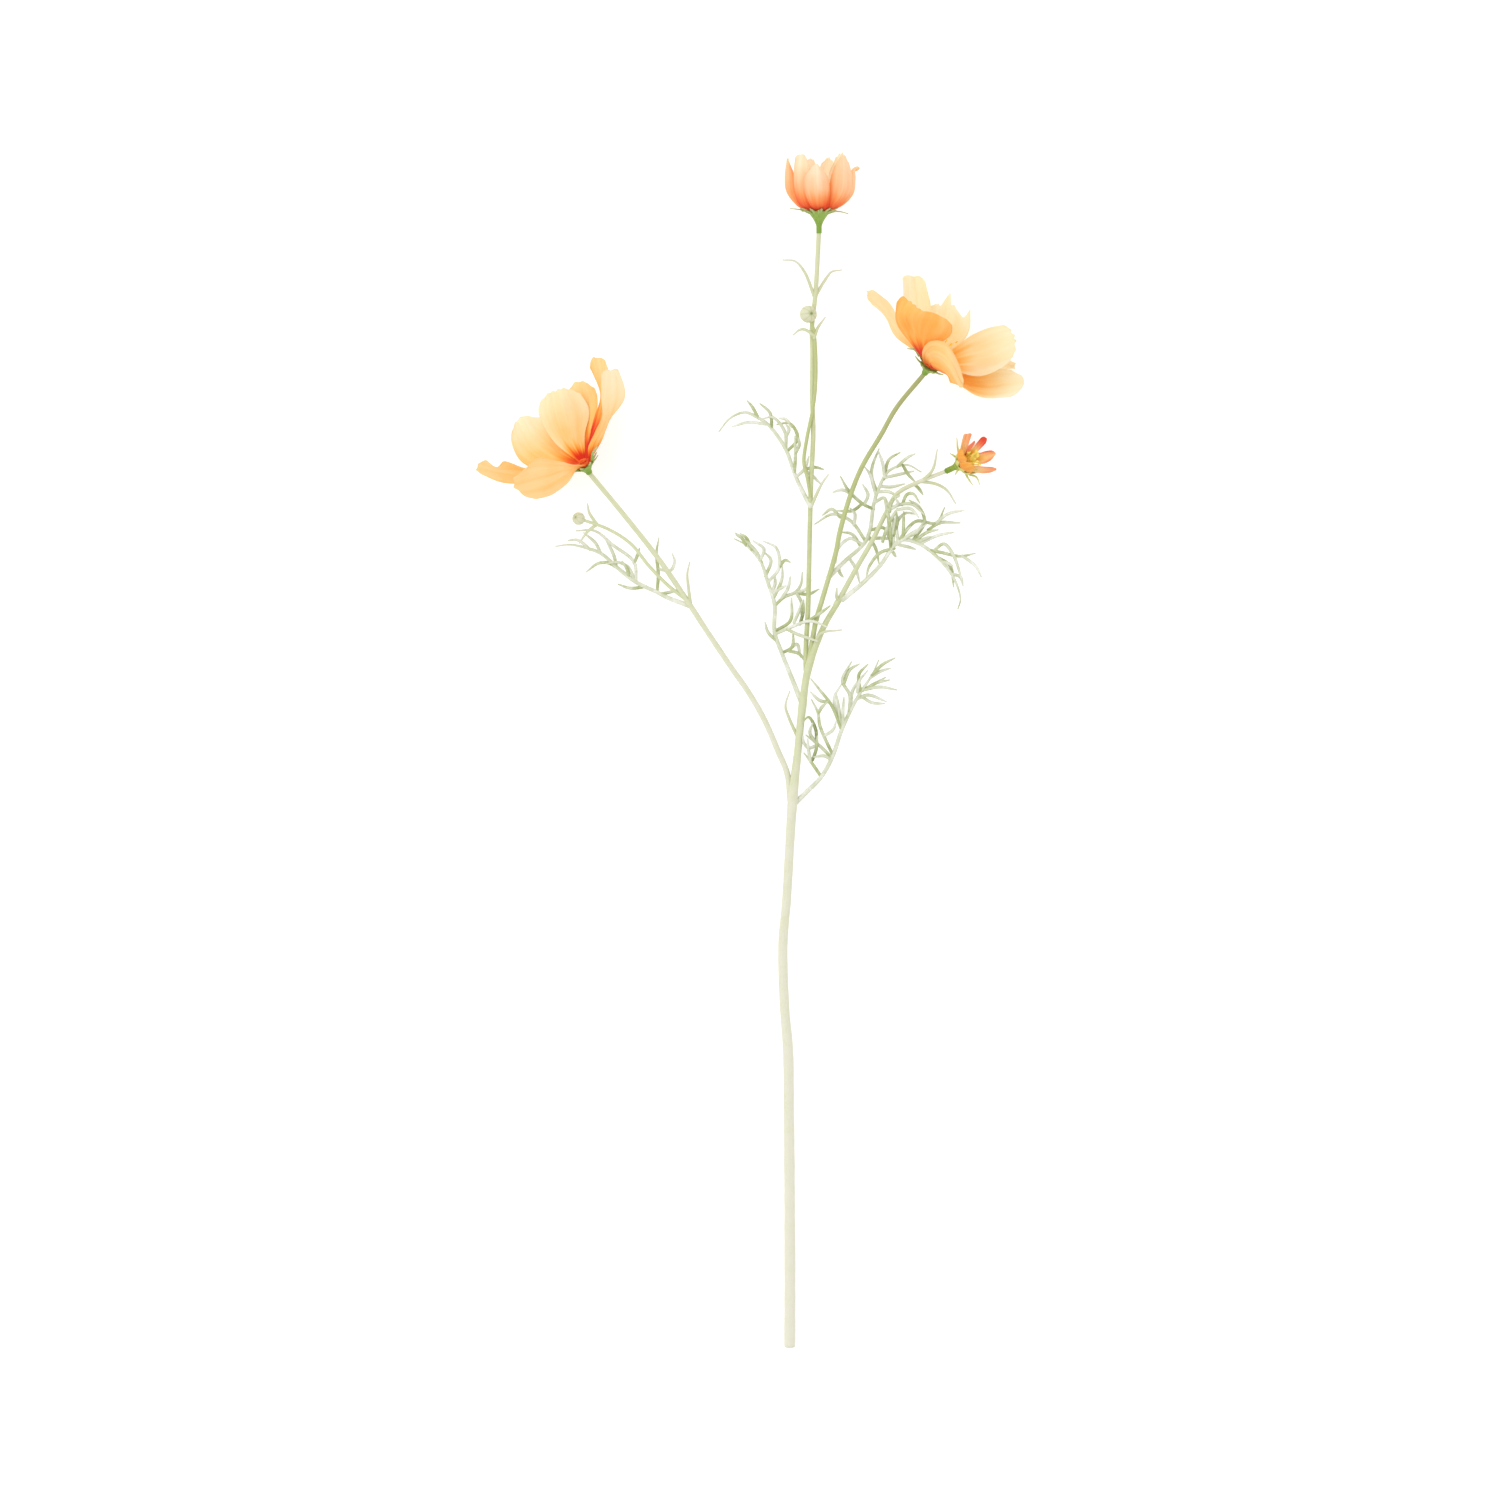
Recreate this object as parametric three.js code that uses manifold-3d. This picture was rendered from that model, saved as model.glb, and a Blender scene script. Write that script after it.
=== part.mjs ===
// Cosmos spray lying on a table: one cut stem with its branches, four flowers, two round buds and
// feathery leaves. Lengths are in millimetres and +Z is up. The stem lies along Y, foot first.
import * as THREE from "three";
import { mergeVertices } from "three/addons/utils/BufferGeometryUtils.js";
import Module from "manifold-3d";

const wasm = await Module();
wasm.setup();

// Driving sizes
const SPRAY_LENGTH = 635; // foot of the stem to the highest petal tip
const GAP = 0.3; // left between two pieces that meet
const SEAT_THICK = 1.6; // the part of a flower's petals that lies under its disc
const SEAT_EDGE = 1; // how far the seat reaches past the roots of the petals
const TWIG_TIP = 0.75; // thickness of a leaflet at its point
const MAIN_ROD = { sides: 8, steps: 26 };
const BRANCH_ROD = { sides: 6, steps: 13 };
const STALK_ROD = { sides: 5, steps: 10 };
const TWIG_ROD = { sides: 3, steps: 3 };
const BRACT_ROD = { sides: 3, steps: 2 };
const DAISY_BRACT_ROD = { sides: 3, steps: 3 };
const TURNED_SIDES = 10; // round solids of the flower heads
const TABLE_SIZE = 900;
const TABLE_DEPTH = 40;

// Picture places. Routes below are in picture units, x to the right and y down.
const TOP_ROW = 151.5;
const FOOT_ROW = 1349.5;
const STEM_COLUMN = 789.8;
const SCALE = SPRAY_LENGTH / (FOOT_ROW - TOP_ROW);

// The main stem: x, y and width in picture units
const MAIN_STEM = [
  [789.8, 1349.5, 11],
  [790, 1280, 11],
  [789, 1110, 10.4],
  [788.1, 1051, 10],
  [784.6, 1007, 9.6],
  [783, 945, 9.3],
  [786.6, 900, 9],
  [792.7, 800, 9.5],
  [797.9, 751, 7.7],
  [802, 710, 7.5],
  [807, 674, 7.3],
  [813.5, 652, 6.6],
  [825.2, 624, 5.8],
  [838.6, 601.5, 5.2],
];
const ROW_SLACK = 1e-6;
const MAIN_HEIGHTS = { foot: 2.75, end: 24, ease: 1.35 };

// Side branches: route, width at both ends in picture units, height at both ends in millimetres
const LEFT_BRANCH = {
  route: [
    [791, 803],
    [787.2, 773.5],
    [778, 751],
    [764.5, 720],
    [748.4, 692],
    [732.3, 669],
    [702.9, 625],
    [687.4, 601],
    [658.7, 559],
    [624, 515],
    [590.3, 474.4],
  ],
  width: [6, 4.8],
  height: [14.8, 34],
};
const CENTRE_STEM = {
  route: [
    [806.5, 676],
    [805.9, 650],
    [808, 611],
    [809.2, 560],
    [810.9, 487],
    [813.3, 431],
    [812, 395],
    [812.4, 350],
    [811.8, 330],
    [815.6, 292],
    [818.8, 234],
  ],
  width: [4.8, 4.6],
  height: [19.5, 27],
};
const RIGHT_STEM = {
  route: [
    [809.4, 662],
    [812, 643],
    [816, 621],
    [823.6, 595],
    [836, 552],
    [839.6, 533],
    [850, 496.6],
    [862, 467],
    [881, 435],
    [896.5, 408],
    [923.6, 375],
  ],
  width: [5, 4.6],
  height: [20.5, 38],
};
const DAISY_STEM = {
  route: [
    [836, 605],
    [843.4, 592],
    [856, 569],
    [871.8, 541.5],
    [885, 515],
    [897, 494],
    [919, 482],
    [945.8, 471.5],
  ],
  width: [5.2, 4],
  height: [23.6, 32],
};
const CENTRE_BUD_STALK = {
  route: [
    [810.6, 496],
    [807.4, 478],
    [803.9, 462],
    [807, 438],
    [813, 408],
    [815.4, 387],
    [815.8, 357],
    [813.5, 330],
    [809, 316],
  ],
  width: [3.6, 3.4],
  height: [23.2, 29],
};
const LEFT_BUD_STALK = {
  route: [
    [684, 598],
    [668.6, 586],
    [649, 566],
    [631, 544],
    [609, 529.6],
    [580, 519],
  ],
  width: [3.6, 3],
  height: [26.4, 30],
};

// Thin bracts and twigs fused to the stem: route and height at both ends
const STEM_TWIGS = [
  { route: [[814.4, 297], [804.4, 272], [795, 261.6], [782.6, 260.4]], height: [26, 33] },
  { route: [[815.6, 296], [825, 280], [831.8, 271.6], [841.6, 269.8]], height: [26, 21] },
  { route: [[814.2, 336], [805.3, 330], [800.3, 329.8], [792.8, 335.4]], height: [29, 31] },
  { route: [[814.2, 338], [817.5, 328.4], [820.7, 323.5], [825.4, 317.2]], height: [29, 26] },
  { route: [[811, 507], [816.8, 493.7], [821.4, 484.5], [828.3, 474.6]], height: [23, 27] },
  { route: [[691, 607], [688.4, 587], [687.4, 574], [689.9, 562]], height: [25, 36] },
  { route: [[597, 524.6], [589.5, 513], [587.6, 504]], height: [29.4, 33] },
  { route: [[597, 524.6], [587.6, 531.6], [579.2, 543.4]], height: [29.4, 25] },
  { route: [[798, 738], [788.7, 717], [785.5, 706], [789.7, 691]], height: [16.5, 26] },
  { route: [[921, 482], [932.4, 470], [937, 450]], height: [30.6, 38] },
  { route: [[921, 481.6], [937, 484.5], [947, 490.6], [955.4, 503.3]], height: [30.6, 27] },
  { route: [[839, 600], [836.7, 597.6], [836.8, 588]], height: [24.4, 31] },
  { route: [[812, 655], [820, 634], [841.5, 630]], height: [21.6, 29] },
];
const STEM_TWIG_WIDTH = 3;

// Round buds: centre in picture units, height and radius in millimetres
const CENTRE_BUD = { centre: [808.3, 314.4], height: 29, radius: 4.6 };
const LEFT_BUD = { centre: [578.7, 518.7], height: 30, radius: 3.4 };

// Feathery leaves. A leaf has its height at distances from its root, then its strands: the first is
// the midrib, and each later one grows from the strand that it starts on and lifts by its own amount.
const LEFT_FROND = {
  heights: [[0, 24], [16, 17.5], [75, 12]],
  strands: [
    {
      lift: 0,
      wide: 3.4,
      route: [
        [689, 605.5], [668.6, 598], [656.8, 592], [636, 582], [619, 569], [600.4, 553],
        [583.6, 547], [569.8, 544.4], [555.4, 546],
      ],
    },
    { lift: -3, route: [[621, 570.5], [609, 563], [598.4, 563], [586, 571.6]] },
    { lift: 4, route: [[636, 582], [634, 562], [613, 545], [594.5, 530.6], [576, 530.6]] },
    { lift: 3, route: [[634, 563], [637, 556], [639.5, 548]] },
    { lift: 2, route: [[616, 565], [614, 556], [604, 535.5]] },
    { lift: 4, route: [[600.4, 553], [595.5, 543], [583.6, 532.6]] },
    { lift: -3, route: [[657, 592], [658.2, 573], [656.3, 554], [658.7, 537.5]] },
    { lift: -4, route: [[658, 569], [670.6, 570], [674.6, 561], [672, 553]] },
    { lift: -2, route: [[660, 594], [670, 592], [681, 589]] },
    { lift: 4, route: [[629, 577.5], [627, 569], [622, 561]] },
    { lift: 2, route: [[590, 549.5], [578, 540], [568, 540]] },
    { lift: -2, route: [[646, 586.5], [630, 588], [618, 584]] },
  ],
};
const UPPER_LEFT_FROND = {
  heights: [[0, 23.4], [12, 17.5], [75, 15]],
  strands: [
    {
      lift: 0,
      wide: 3.2,
      route: [
        [810.5, 506], [804, 494], [795.2, 475], [787, 451.5], [778.5, 437], [767.8, 424],
        [756.3, 416.4], [744.8, 412], [730, 418], [718.8, 431.4],
      ],
    },
    { lift: 4, route: [[758.6, 418], [751.7, 405.7], [747, 400.4]] },
    { lift: -4, route: [[767.4, 424], [748, 422], [731.8, 426.4]] },
    { lift: 5, route: [[772, 429], [770, 412.6], [760, 403.4]] },
    { lift: 4, route: [[786, 449], [785, 432], [773, 417], [762.4, 418.7]] },
    { lift: 3, route: [[786.4, 436], [789, 429], [786, 424]] },
    { lift: -4, route: [[787, 451.5], [797.7, 438], [790, 423], [777, 424]] },
    { lift: -3, route: [[792, 426], [786, 419], [779.3, 417.6]] },
    { lift: 5, route: [[794.6, 473.5], [795.4, 455], [795, 436]] },
    { lift: 3, route: [[795.6, 453], [799.2, 445], [798.8, 438]] },
    { lift: -2, route: [[796, 477], [804.5, 468.5], [809, 456]] },
    { lift: -2, route: [[803.6, 469.6], [814.5, 467], [823.7, 469]] },
    { lift: -3, route: [[803.6, 469.6], [813, 476], [821, 484]] },

  ],
};
const MIDDLE_LEFT_FROND = {
  heights: [[0, 18.6], [14, 14], [90, 13]],
  strands: [
    {
      lift: 0,
      wide: 3.6,
      route: [
        [803, 706], [791.8, 678], [781.7, 652.5], [774.6, 632], [774.6, 604.5], [768, 582.5],
        [761, 562], [750, 548.5], [744.7, 544], [734.3, 538.5],
      ],
    },
    { lift: 3, route: [[746, 545], [742, 538], [735, 532.7]] },
    { lift: 5, route: [[768, 582], [779, 568], [776.5, 548], [763.6, 541]] },
    { lift: 2, route: [[779, 568], [785, 560], [790.3, 562]] },
    { lift: -4, route: [[765.6, 576], [771, 560], [764.5, 551.7]] },
    { lift: 4, route: [[760, 560.5], [764, 549], [753, 540.5]] },
    { lift: -3, route: [[751.5, 549.5], [746.4, 537.5], [740, 533]] },
    { lift: -4, route: [[772, 592], [775, 584], [774.8, 574]] },
    { lift: 6, route: [[773.6, 598], [781.7, 580], [782.5, 566]] },
    { lift: -2, route: [[774.5, 606], [784, 597], [795.5, 592], [801, 584], [802.4, 572]] },
    { lift: -3, route: [[795, 592.2], [806, 589], [811, 580]] },
    { lift: -4, route: [[795, 592.2], [808, 594], [819, 589]] },
    { lift: 5, route: [[781, 599.2], [788, 588], [790.3, 576.7]] },
    { lift: -3, route: [[796, 592], [801.5, 602.5], [801, 614.6]] },
    { lift: 6, route: [[774.8, 631], [790.3, 620.6], [791.6, 598]] },
    { lift: 20, route: [[775.2, 634], [793.7, 626], [810, 621], [827, 627]] },
    { lift: 11, route: [[808, 621], [817.6, 615], [830, 606]] },
    { lift: 12, route: [[786.8, 629], [797, 634], [818, 641.4]] },
    { lift: 4, route: [[794, 622.5], [799, 611], [802.4, 601]] },
    { lift: 2, route: [[781.7, 653], [792, 647], [793.3, 632.7]] },
    { lift: -2, route: [[791, 648], [797, 644], [800.6, 657]] },
    { lift: 4, route: [[776.6, 641], [768, 632], [765, 622]] },
  ],
};
const LOWER_RIGHT_FROND = {
  heights: [[0, 14.4], [16, 19], [90, 25]],
  strands: [
    {
      lift: 0,
      wide: 3.6,
      route: [
        [794.4, 804], [806.6, 792], [821.3, 777], [832.4, 757], [841.3, 731], [850.8, 710],
        [860.8, 692], [871.8, 675.3], [878.7, 660],
      ],
    },
    { lift: 4, route: [[871.8, 675.3], [882.3, 664.7], [895, 658]] },
    { lift: -3, route: [[870, 678], [880, 671.6], [891, 668]] },
    { lift: -4, route: [[861.4, 691], [872.9, 684.7], [885.5, 677.4]] },
    { lift: 3, route: [[863, 690], [880, 687], [897, 690]] },
    { lift: -5, route: [[857, 699], [868, 695], [886.5, 701.6]] },
    { lift: 5, route: [[860.8, 692], [858.7, 675.3], [868, 664]] },
    { lift: -4, route: [[851, 709.6], [853, 690], [867.6, 670.5]] },
    { lift: 5, route: [[849, 713], [849.7, 695], [842.3, 680.5], [851.3, 662]] },
    { lift: 3, route: [[844, 683.5], [849.7, 670], [859.2, 664]] },
    { lift: -4, route: [[842, 729.4], [835.5, 709], [834.5, 697], [842.3, 683]] },
    { lift: 4, route: [[841.6, 730], [832, 706], [819, 689], [811, 679]] },
    { lift: 6, route: [[843, 726], [842.9, 712], [843.9, 697.4]] },
    { lift: 3, route: [[829.4, 702], [820, 700.5], [810.5, 692]] },
    { lift: 4, route: [[833, 755.5], [820, 726], [818, 713], [811.5, 699.5]] },
    { lift: -3, route: [[824, 736], [832.9, 730], [836, 721.6]] },
    { lift: 2, route: [[818.4, 713], [822, 707], [826.5, 703]] },
    { lift: -4, route: [[832, 758], [820, 746], [806, 735]] },
    { lift: 4, route: [[831, 759.6], [824.5, 756], [814, 757]] },
    { lift: -2, route: [[821.3, 777], [816, 769], [810.8, 761.5], [804, 753]] },
    { lift: 5, route: [[810.8, 762], [808.7, 751], [807.6, 739]] },
    { lift: 5, route: [[816, 742.5], [810, 733], [812.6, 723]] },
  ],
};
const RIGHT_FROND = {
  heights: [[0, 26], [14, 20.5], [34, 20], [62, 26]],
  strands: [
    {
      lift: 0,
      wide: 3.6,
      route: [
        [828, 578], [845, 561], [864.5, 543], [870, 530], [873.6, 505], [877.9, 490.6],
        [888.8, 471], [907, 465], [921, 472],
      ],
    },
    { lift: 3, route: [[877, 492], [871.8, 477], [872.4, 466], [879, 449]] },
    { lift: 6, route: [[884.5, 478], [882.7, 464], [878, 450.6]] },
    { lift: -3, route: [[884, 479], [888.8, 460], [900, 452.4]] },
    { lift: 5, route: [[897, 467], [907, 458], [915, 454]] },
    { lift: -4, route: [[885, 477.6], [894.8, 475.4], [914, 471]] },
    { lift: -4, route: [[903, 465.5], [908, 474], [915.4, 482]] },
    { lift: 5, route: [[876, 495], [869.4, 473.6], [865, 467.6]] },
    { lift: -2, route: [[866, 541.5], [851, 521], [833, 514], [814.8, 524]] },
    { lift: -2, route: [[840, 517], [831.8, 509], [822.7, 515]] },
    { lift: 4, route: [[854, 525], [855, 514], [850, 508]] },
    { lift: 11, route: [[873.6, 509], [863, 504], [848.8, 491], [840.3, 476.7]] },
    { lift: 2, route: [[852, 494], [842, 490], [833, 492.4]] },
    { lift: 3, route: [[864, 504.6], [868, 495], [862.7, 484.5]] },
    { lift: -2, route: [[862, 504], [852.4, 510.6], [837, 510.6]] },
    { lift: -2, route: [[863, 544.6], [850, 538.4], [838, 549], [836, 563]] },
    { lift: -3, route: [[861, 546.4], [852, 534], [842, 532]] },
    { lift: -4, route: [[838.5, 567.5], [840, 573], [843.3, 577]] },
    { lift: -4, route: [[849, 557.5], [856, 569], [859.7, 582.7]] },
    { lift: -3, route: [[870, 530], [884, 528], [890, 541.5]] },
    { lift: 3, route: [[874, 503], [884, 498], [888, 512], [888.8, 524]] },
    { lift: 4, route: [[880, 486], [890, 487], [904.5, 484]] },
    { lift: -4, route: [[868, 535], [876, 549], [879, 563]] },
  ],
};
const ARCHING_FROND = {
  heights: [[0, 24.4], [14, 30], [85, 33]],
  strands: [
    {
      lift: 0,
      wide: 3.8,
      route: [
        [843, 599.4], [864.5, 581.5], [880, 565.7], [899.7, 540.6], [916.6, 542.7], [937, 557],
        [954, 579], [960.3, 599.6], [957.8, 608.7],
      ],
    },
    { lift: 3, route: [[928, 550], [941, 552.6], [960, 556.4], [974.8, 553.6]] },
    { lift: 3, route: [[962, 556], [975, 566], [981, 577]] },
    { lift: -4, route: [[937, 557], [950, 566], [953.6, 587]] },
    { lift: 5, route: [[934, 550.6], [943.8, 544], [953, 555], [962.4, 583]] },
    { lift: -3, route: [[951, 574], [960, 577], [963, 586]] },
    { lift: -2, route: [[898, 542], [915.6, 521.6], [936, 523], [944.6, 507.6]] },
    { lift: 3, route: [[936, 523], [948, 514], [964, 510.6]] },
    { lift: -3, route: [[928, 530], [940, 523], [960, 523]] },
    { lift: 4, route: [[914, 542], [926, 533], [938, 530]] },
    { lift: 7, route: [[920, 544], [936.6, 536], [953.6, 532.6]] },
    { lift: 6, route: [[912, 541.6], [924.4, 522], [918, 506], [909, 500.6]] },
    { lift: 2, route: [[898, 543], [897, 523], [905, 513.6], [917, 514.6]] },
    { lift: -5, route: [[899, 545], [908, 547], [915.6, 549.4]] },
    { lift: 4, route: [[894, 548.6], [880, 553], [869.4, 566], [866, 578]] },
    { lift: -3, route: [[892, 551], [893.6, 532], [893, 514]] },
    { lift: 3, route: [[891, 548], [889.4, 526], [887.4, 512], [883.6, 497.6]] },
    { lift: 4, route: [[888.4, 510], [899, 505], [912, 504.6], [924, 515]] },
    { lift: 3, route: [[896, 545], [907, 536.6], [926, 524.6]] },
    { lift: 2, route: [[903, 538], [903.4, 525], [903.6, 512]] },
  ],
};
const LEAFLET_WIDTH = 3.2;

// Flower heads: neck in picture units, height, picture angle of the axis and its tilt to the sky
const LEFT_HEAD = { neck: [590.3, 474.4], height: 34, angle: 121, tilt: 14, throat: 6.6 };
const RIGHT_HEAD = { neck: [923.6, 375], height: 38, angle: 57, tilt: 24, throat: 7.4 };
const TOP_HEAD = { neck: [819, 234], height: 27, angle: 90, tilt: 3, throat: 12.4 };
const DAISY_HEAD = { neck: [945.8, 471.5], height: 32, angle: 25, tilt: 38, throat: 14.6 };

// Petals of the two wide blooms. Each one has three rails from the throat to the tip: one edge, the
// middle and the other edge. A place on a rail is x, y in picture units and the height in millimetres.
// Claw is half the petal's width where it starts, for a petal that starts wide.
const LEFT_PETALS = {
  right_front: {
    claw: 3.2,
    left: [[588.5, 448, 41], [596, 434, 48], [602.5, 419, 54], [601.5, 398, 60], [603, 373, 63]],
    middle: [[600, 440, 44], [608, 420, 48], [611, 398, 54], [611, 370, 55]],
    right: [[602, 440, 41], [610.5, 421, 43], [624.5, 397, 44], [619.5, 370, 46]],
  },
  right_back: {
    left: [[588, 441, 27], [595, 418, 22], [600, 397, 18], [593, 375, 16], [588.5, 361, 15]],
    middle: [[592, 440, 30], [600, 418, 28], [604, 392, 25], [600, 372, 24], [597.5, 355, 24]],
    right: [[596, 440, 34], [605, 418, 34], [608.5, 394, 33], [609, 380, 33], [610.5, 366, 33]],
  },
  back_right: {
    left: [[574, 440, 17], [563, 412, 6.4], [566, 389, 2]],
    middle: [[584, 433, 20], [581, 406, 9], [579, 380, 3.4]],
    right: [[590, 436, 27], [596, 412, 20], [597.5, 396, 17], [591, 384.5, 15]],
  },
  back: {
    left: [[556, 444, 21], [541, 421, 10], [538, 408, 7], [542, 396, 5.6]],
    middle: [[570, 437, 21], [563, 411, 10], [557, 388, 4.4]],
    right: [[585, 437, 24], [589, 410, 16], [577, 388, 10]],
  },
  back_left: {
    left: [[547, 469, 27], [521, 461, 15], [510.5, 441, 10], [512, 427, 8]],
    middle: [[555, 455, 19], [536, 440, 8], [521, 415.5, 1]],
    right: [[567, 447, 17], [557, 427, 6], [542, 415.5, 0.4]],
  },
  far_left: {
    left: [[548, 468, 38], [522, 469, 40], [504, 461.5, 41], [497, 467, 40], [485, 460.5, 42]],
    middle: [[550, 475, 33], [511, 474, 32], [476, 467, 30]],
    right: [[550, 481, 28], [506, 482, 23], [479, 474, 21]],
  },
  front: {
    claw: 3.2,
    left: [[575, 465.5, 48], [558, 462, 58], [537, 460.5, 72], [520, 475, 75]],
    middle: [[567, 470, 52], [542, 479, 65], [514, 487, 66]],
    right: [[573, 477, 48], [565, 487, 53], [553, 496, 56], [528, 500, 57]],
  },
};
const RIGHT_PETALS = {
  far_left: {
    left: [[905, 331, 45], [891, 307, 44], [874, 290.5, 42]],
    middle: [[902, 336, 37], [884, 308, 33], [866, 291, 29]],
    right: [[899, 340, 30], [885, 318, 22], [869, 300, 17]],
  },
  front_left: {
    claw: 2.6,
    left: [[905, 338, 54], [894, 318, 63], [900, 295, 67]],
    middle: [[916, 334, 61], [915, 319, 72], [922, 310.5, 77]],
    right: [[938, 346, 59], [951, 335, 67], [949, 320, 72]],
  },
  back_left: {
    left: [[914, 332, 28], [903, 302, 19], [903.5, 276, 15]],
    middle: [[921, 328, 23], [916, 300, 13], [914, 273.5, 8]],
    right: [[931, 330, 24], [931, 304, 14], [924.5, 278, 9]],
  },
  back: {
    left: [[933, 332, 20], [929, 317, 11], [932, 303, 5]],
    middle: [[943, 328, 17], [947, 312, 7], [951, 291, 0.4]],
    right: [[962, 342, 18], [970, 328, 9], [971, 306, 2]],
  },
  right: {
    left: [[966, 339, 27], [986, 328.5, 20], [1006, 324, 17]],
    middle: [[972, 357, 28], [995, 350, 24], [1019, 341, 24]],
    right: [[972, 375.5, 38], [992, 374, 38], [1009, 363, 37]],
  },
  back_right: {
    left: [[962, 352, 14], [987, 350, 4], [1008, 356, 0.4]],
    middle: [[963, 360, 15], [989, 361, 5], [1017, 365, 0.6]],
    right: [[960, 369, 19], [987, 371, 10], [1008, 370, 6]],
  },
  lower_right: {
    left: [[968, 372, 28], [990, 368, 24], [1012, 371, 24]],
    middle: [[966, 384, 33], [994, 387, 29], [1025, 382, 27]],
    right: [[966, 390, 44], [984, 400, 45], [1012, 396, 42]],
  },
  front: {
    claw: 3.4,
    left: [[922, 352, 54], [932, 342.5, 66], [947, 347, 74], [963, 384, 69]],
    middle: [[928, 357, 56], [938, 356, 68], [950, 368, 74], [961, 389, 68]],
    right: [[932, 368, 50], [941, 374, 60], [947, 379, 64], [952, 385.5, 63]],
  },
};

// Petals of the half-open flower and of the daisy, in the same way
const TOP_PETALS = {
  centre: {
    left: [[810, 206, 37], [804, 193, 40], [804, 179, 40.5], [813, 166, 40]],
    middle: [[818, 206, 39], [817.5, 192, 45], [817, 178, 45.5], [816.3, 165, 42]],
    right: [[828, 206.5, 36.5], [830, 193, 40], [827.5, 179, 40.5], [820, 166.5, 40]],
  },
  left: {
    left: [[800, 205.5, 30], [795, 191, 29], [793.3, 172, 27], [796, 156.5, 27]],
    middle: [[805, 206, 34], [800, 192, 37.5], [799, 173, 37.5], [801, 154.3, 34]],
    right: [[811, 206, 35], [809, 192, 40], [811, 174, 40], [806, 157, 37.5]],
  },
  far_left: {
    left: [[798, 206, 22], [790, 192, 17], [788.5, 176, 15], [787, 161, 17]],
    middle: [[799.5, 206.5, 27], [787.3, 192, 24], [785.6, 177, 24], [788, 158.3, 24]],
    right: [[803, 207, 28], [796.5, 193, 27], [795, 178, 27], [790, 163, 26]],
  },
  right: {
    left: [[826, 206.5, 33], [828, 193, 35.5], [830.5, 178, 37], [838, 160, 37]],
    middle: [[833, 206, 35], [841, 193, 38], [843, 177, 38], [843, 155.8, 35]],
    right: [[838, 206.5, 30], [850, 193, 28], [852.5, 178, 27], [848, 161, 28]],
  },
  far_right: {
    left: [[838, 207, 27], [849, 194, 25], [851.5, 180, 24], [851, 167, 25]],
    middle: [[840.5, 206.5, 25], [853.3, 193, 21], [855.3, 178, 20], [855, 169, 21], [859.5, 167, 23]],
    right: [[838, 206, 20], [849, 192, 14], [852, 177, 13], [853, 171, 14], [858, 171, 17]],
  },
  back_right: {
    left: [[828, 206, 21], [829, 190, 13.5], [829.5, 172, 12.5], [835, 157.5, 15]],
    middle: [[832, 206, 20], [840, 190, 10.5], [841, 172, 10], [840.7, 151, 12]],
    right: [[836, 206, 22], [849, 190, 14], [851, 172, 13], [847.5, 155, 16]],
  },
  back: {
    left: [[815, 206, 20], [814, 190, 11.5], [818, 172, 10.5], [825, 158, 13]],
    middle: [[820, 206, 18.5], [823, 190, 9.5], [827, 172, 8.8], [829, 155.5, 11]],
    right: [[825, 206, 20], [831, 190, 11.5], [835, 172, 10.5], [833, 160, 13]],
  },
  back_left: {
    left: [[803, 206, 22], [797, 190, 15], [799, 172, 14], [805, 160, 16]],
    middle: [[808, 206, 20.5], [806, 190, 11.5], [809, 172, 11], [811, 157.2, 13]],
    right: [[813, 206, 20], [815, 190, 10.5], [818.5, 172, 10], [815.5, 160.5, 12.5]],
  },
};
const DAISY_PETALS = {
  up: {
    left: [[960, 456, 42], [960.5, 446, 43], [963.5, 434.8, 44]],
    middle: [[963, 455.5, 40.5], [964, 445.5, 41.5], [967.6, 433.6, 42.5]],
    right: [[966, 454.5, 41], [968, 446, 42], [971.5, 434.3, 43]],
  },
  narrow: {
    left: [[964.5, 454, 44], [967, 448, 46], [973, 442, 47]],
    middle: [[965.5, 454.5, 43], [968.5, 449.5, 45], [974.3, 441.5, 46]],
    right: [[966.5, 455.5, 42], [970.2, 450.7, 43.5], [975, 443, 45]],
  },
  up_right: {
    left: [[969, 453, 41], [974.5, 445, 41.5], [982.5, 436.5, 42]],
    middle: [[970.5, 454.5, 39.5], [977, 447.3, 39.5], [986, 438.2, 40.5]],
    right: [[972.5, 455.5, 40], [979.5, 450, 40], [987, 441.5, 41.5]],
  },
  right: {
    left: [[973, 456.5, 38.5], [983, 452.5, 38], [992.5, 450.5, 38.5]],
    middle: [[974, 460, 37], [984, 457.5, 36], [995.5, 454, 37]],
    right: [[974, 463.5, 37.5], [983, 464, 37], [991.5, 460.5, 38]],
  },
  low_right: {
    left: [[972.5, 466.5, 41], [983, 467, 41], [994, 467.8, 41]],
    middle: [[972, 469, 38.5], [983, 470.2, 38], [996, 470.2, 38.5]],
    right: [[970.5, 471.5, 37], [981, 473.4, 36], [991, 473, 36.5]],
  },
  front_up: {
    left: [[960, 455, 45], [960, 450, 50], [965, 452, 54]],
    middle: [[958, 460, 46.5], [958.5, 457, 53.5], [967, 458, 57.5]],
    right: [[960, 464, 45.5], [961.5, 464, 52], [970, 464, 55]],
  },
  front_low: {
    left: [[959, 462.5, 45], [961, 462, 51], [971, 463.5, 54]],
    middle: [[960.5, 468, 44.5], [964, 469, 50], [974, 466.5, 53]],
    right: [[965, 470, 42], [969, 473, 45], [975.5, 471, 48]],
  },
  under: {
    left: [[971, 456.5, 36], [977, 453.5, 34], [982, 452.5, 33]],
    middle: [[972, 459, 35], [979, 457, 32.5], [985, 455.5, 31.5]],
    right: [[972, 461.5, 35.5], [979, 461, 33.5], [983, 460, 33]],
  },
};
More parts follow.
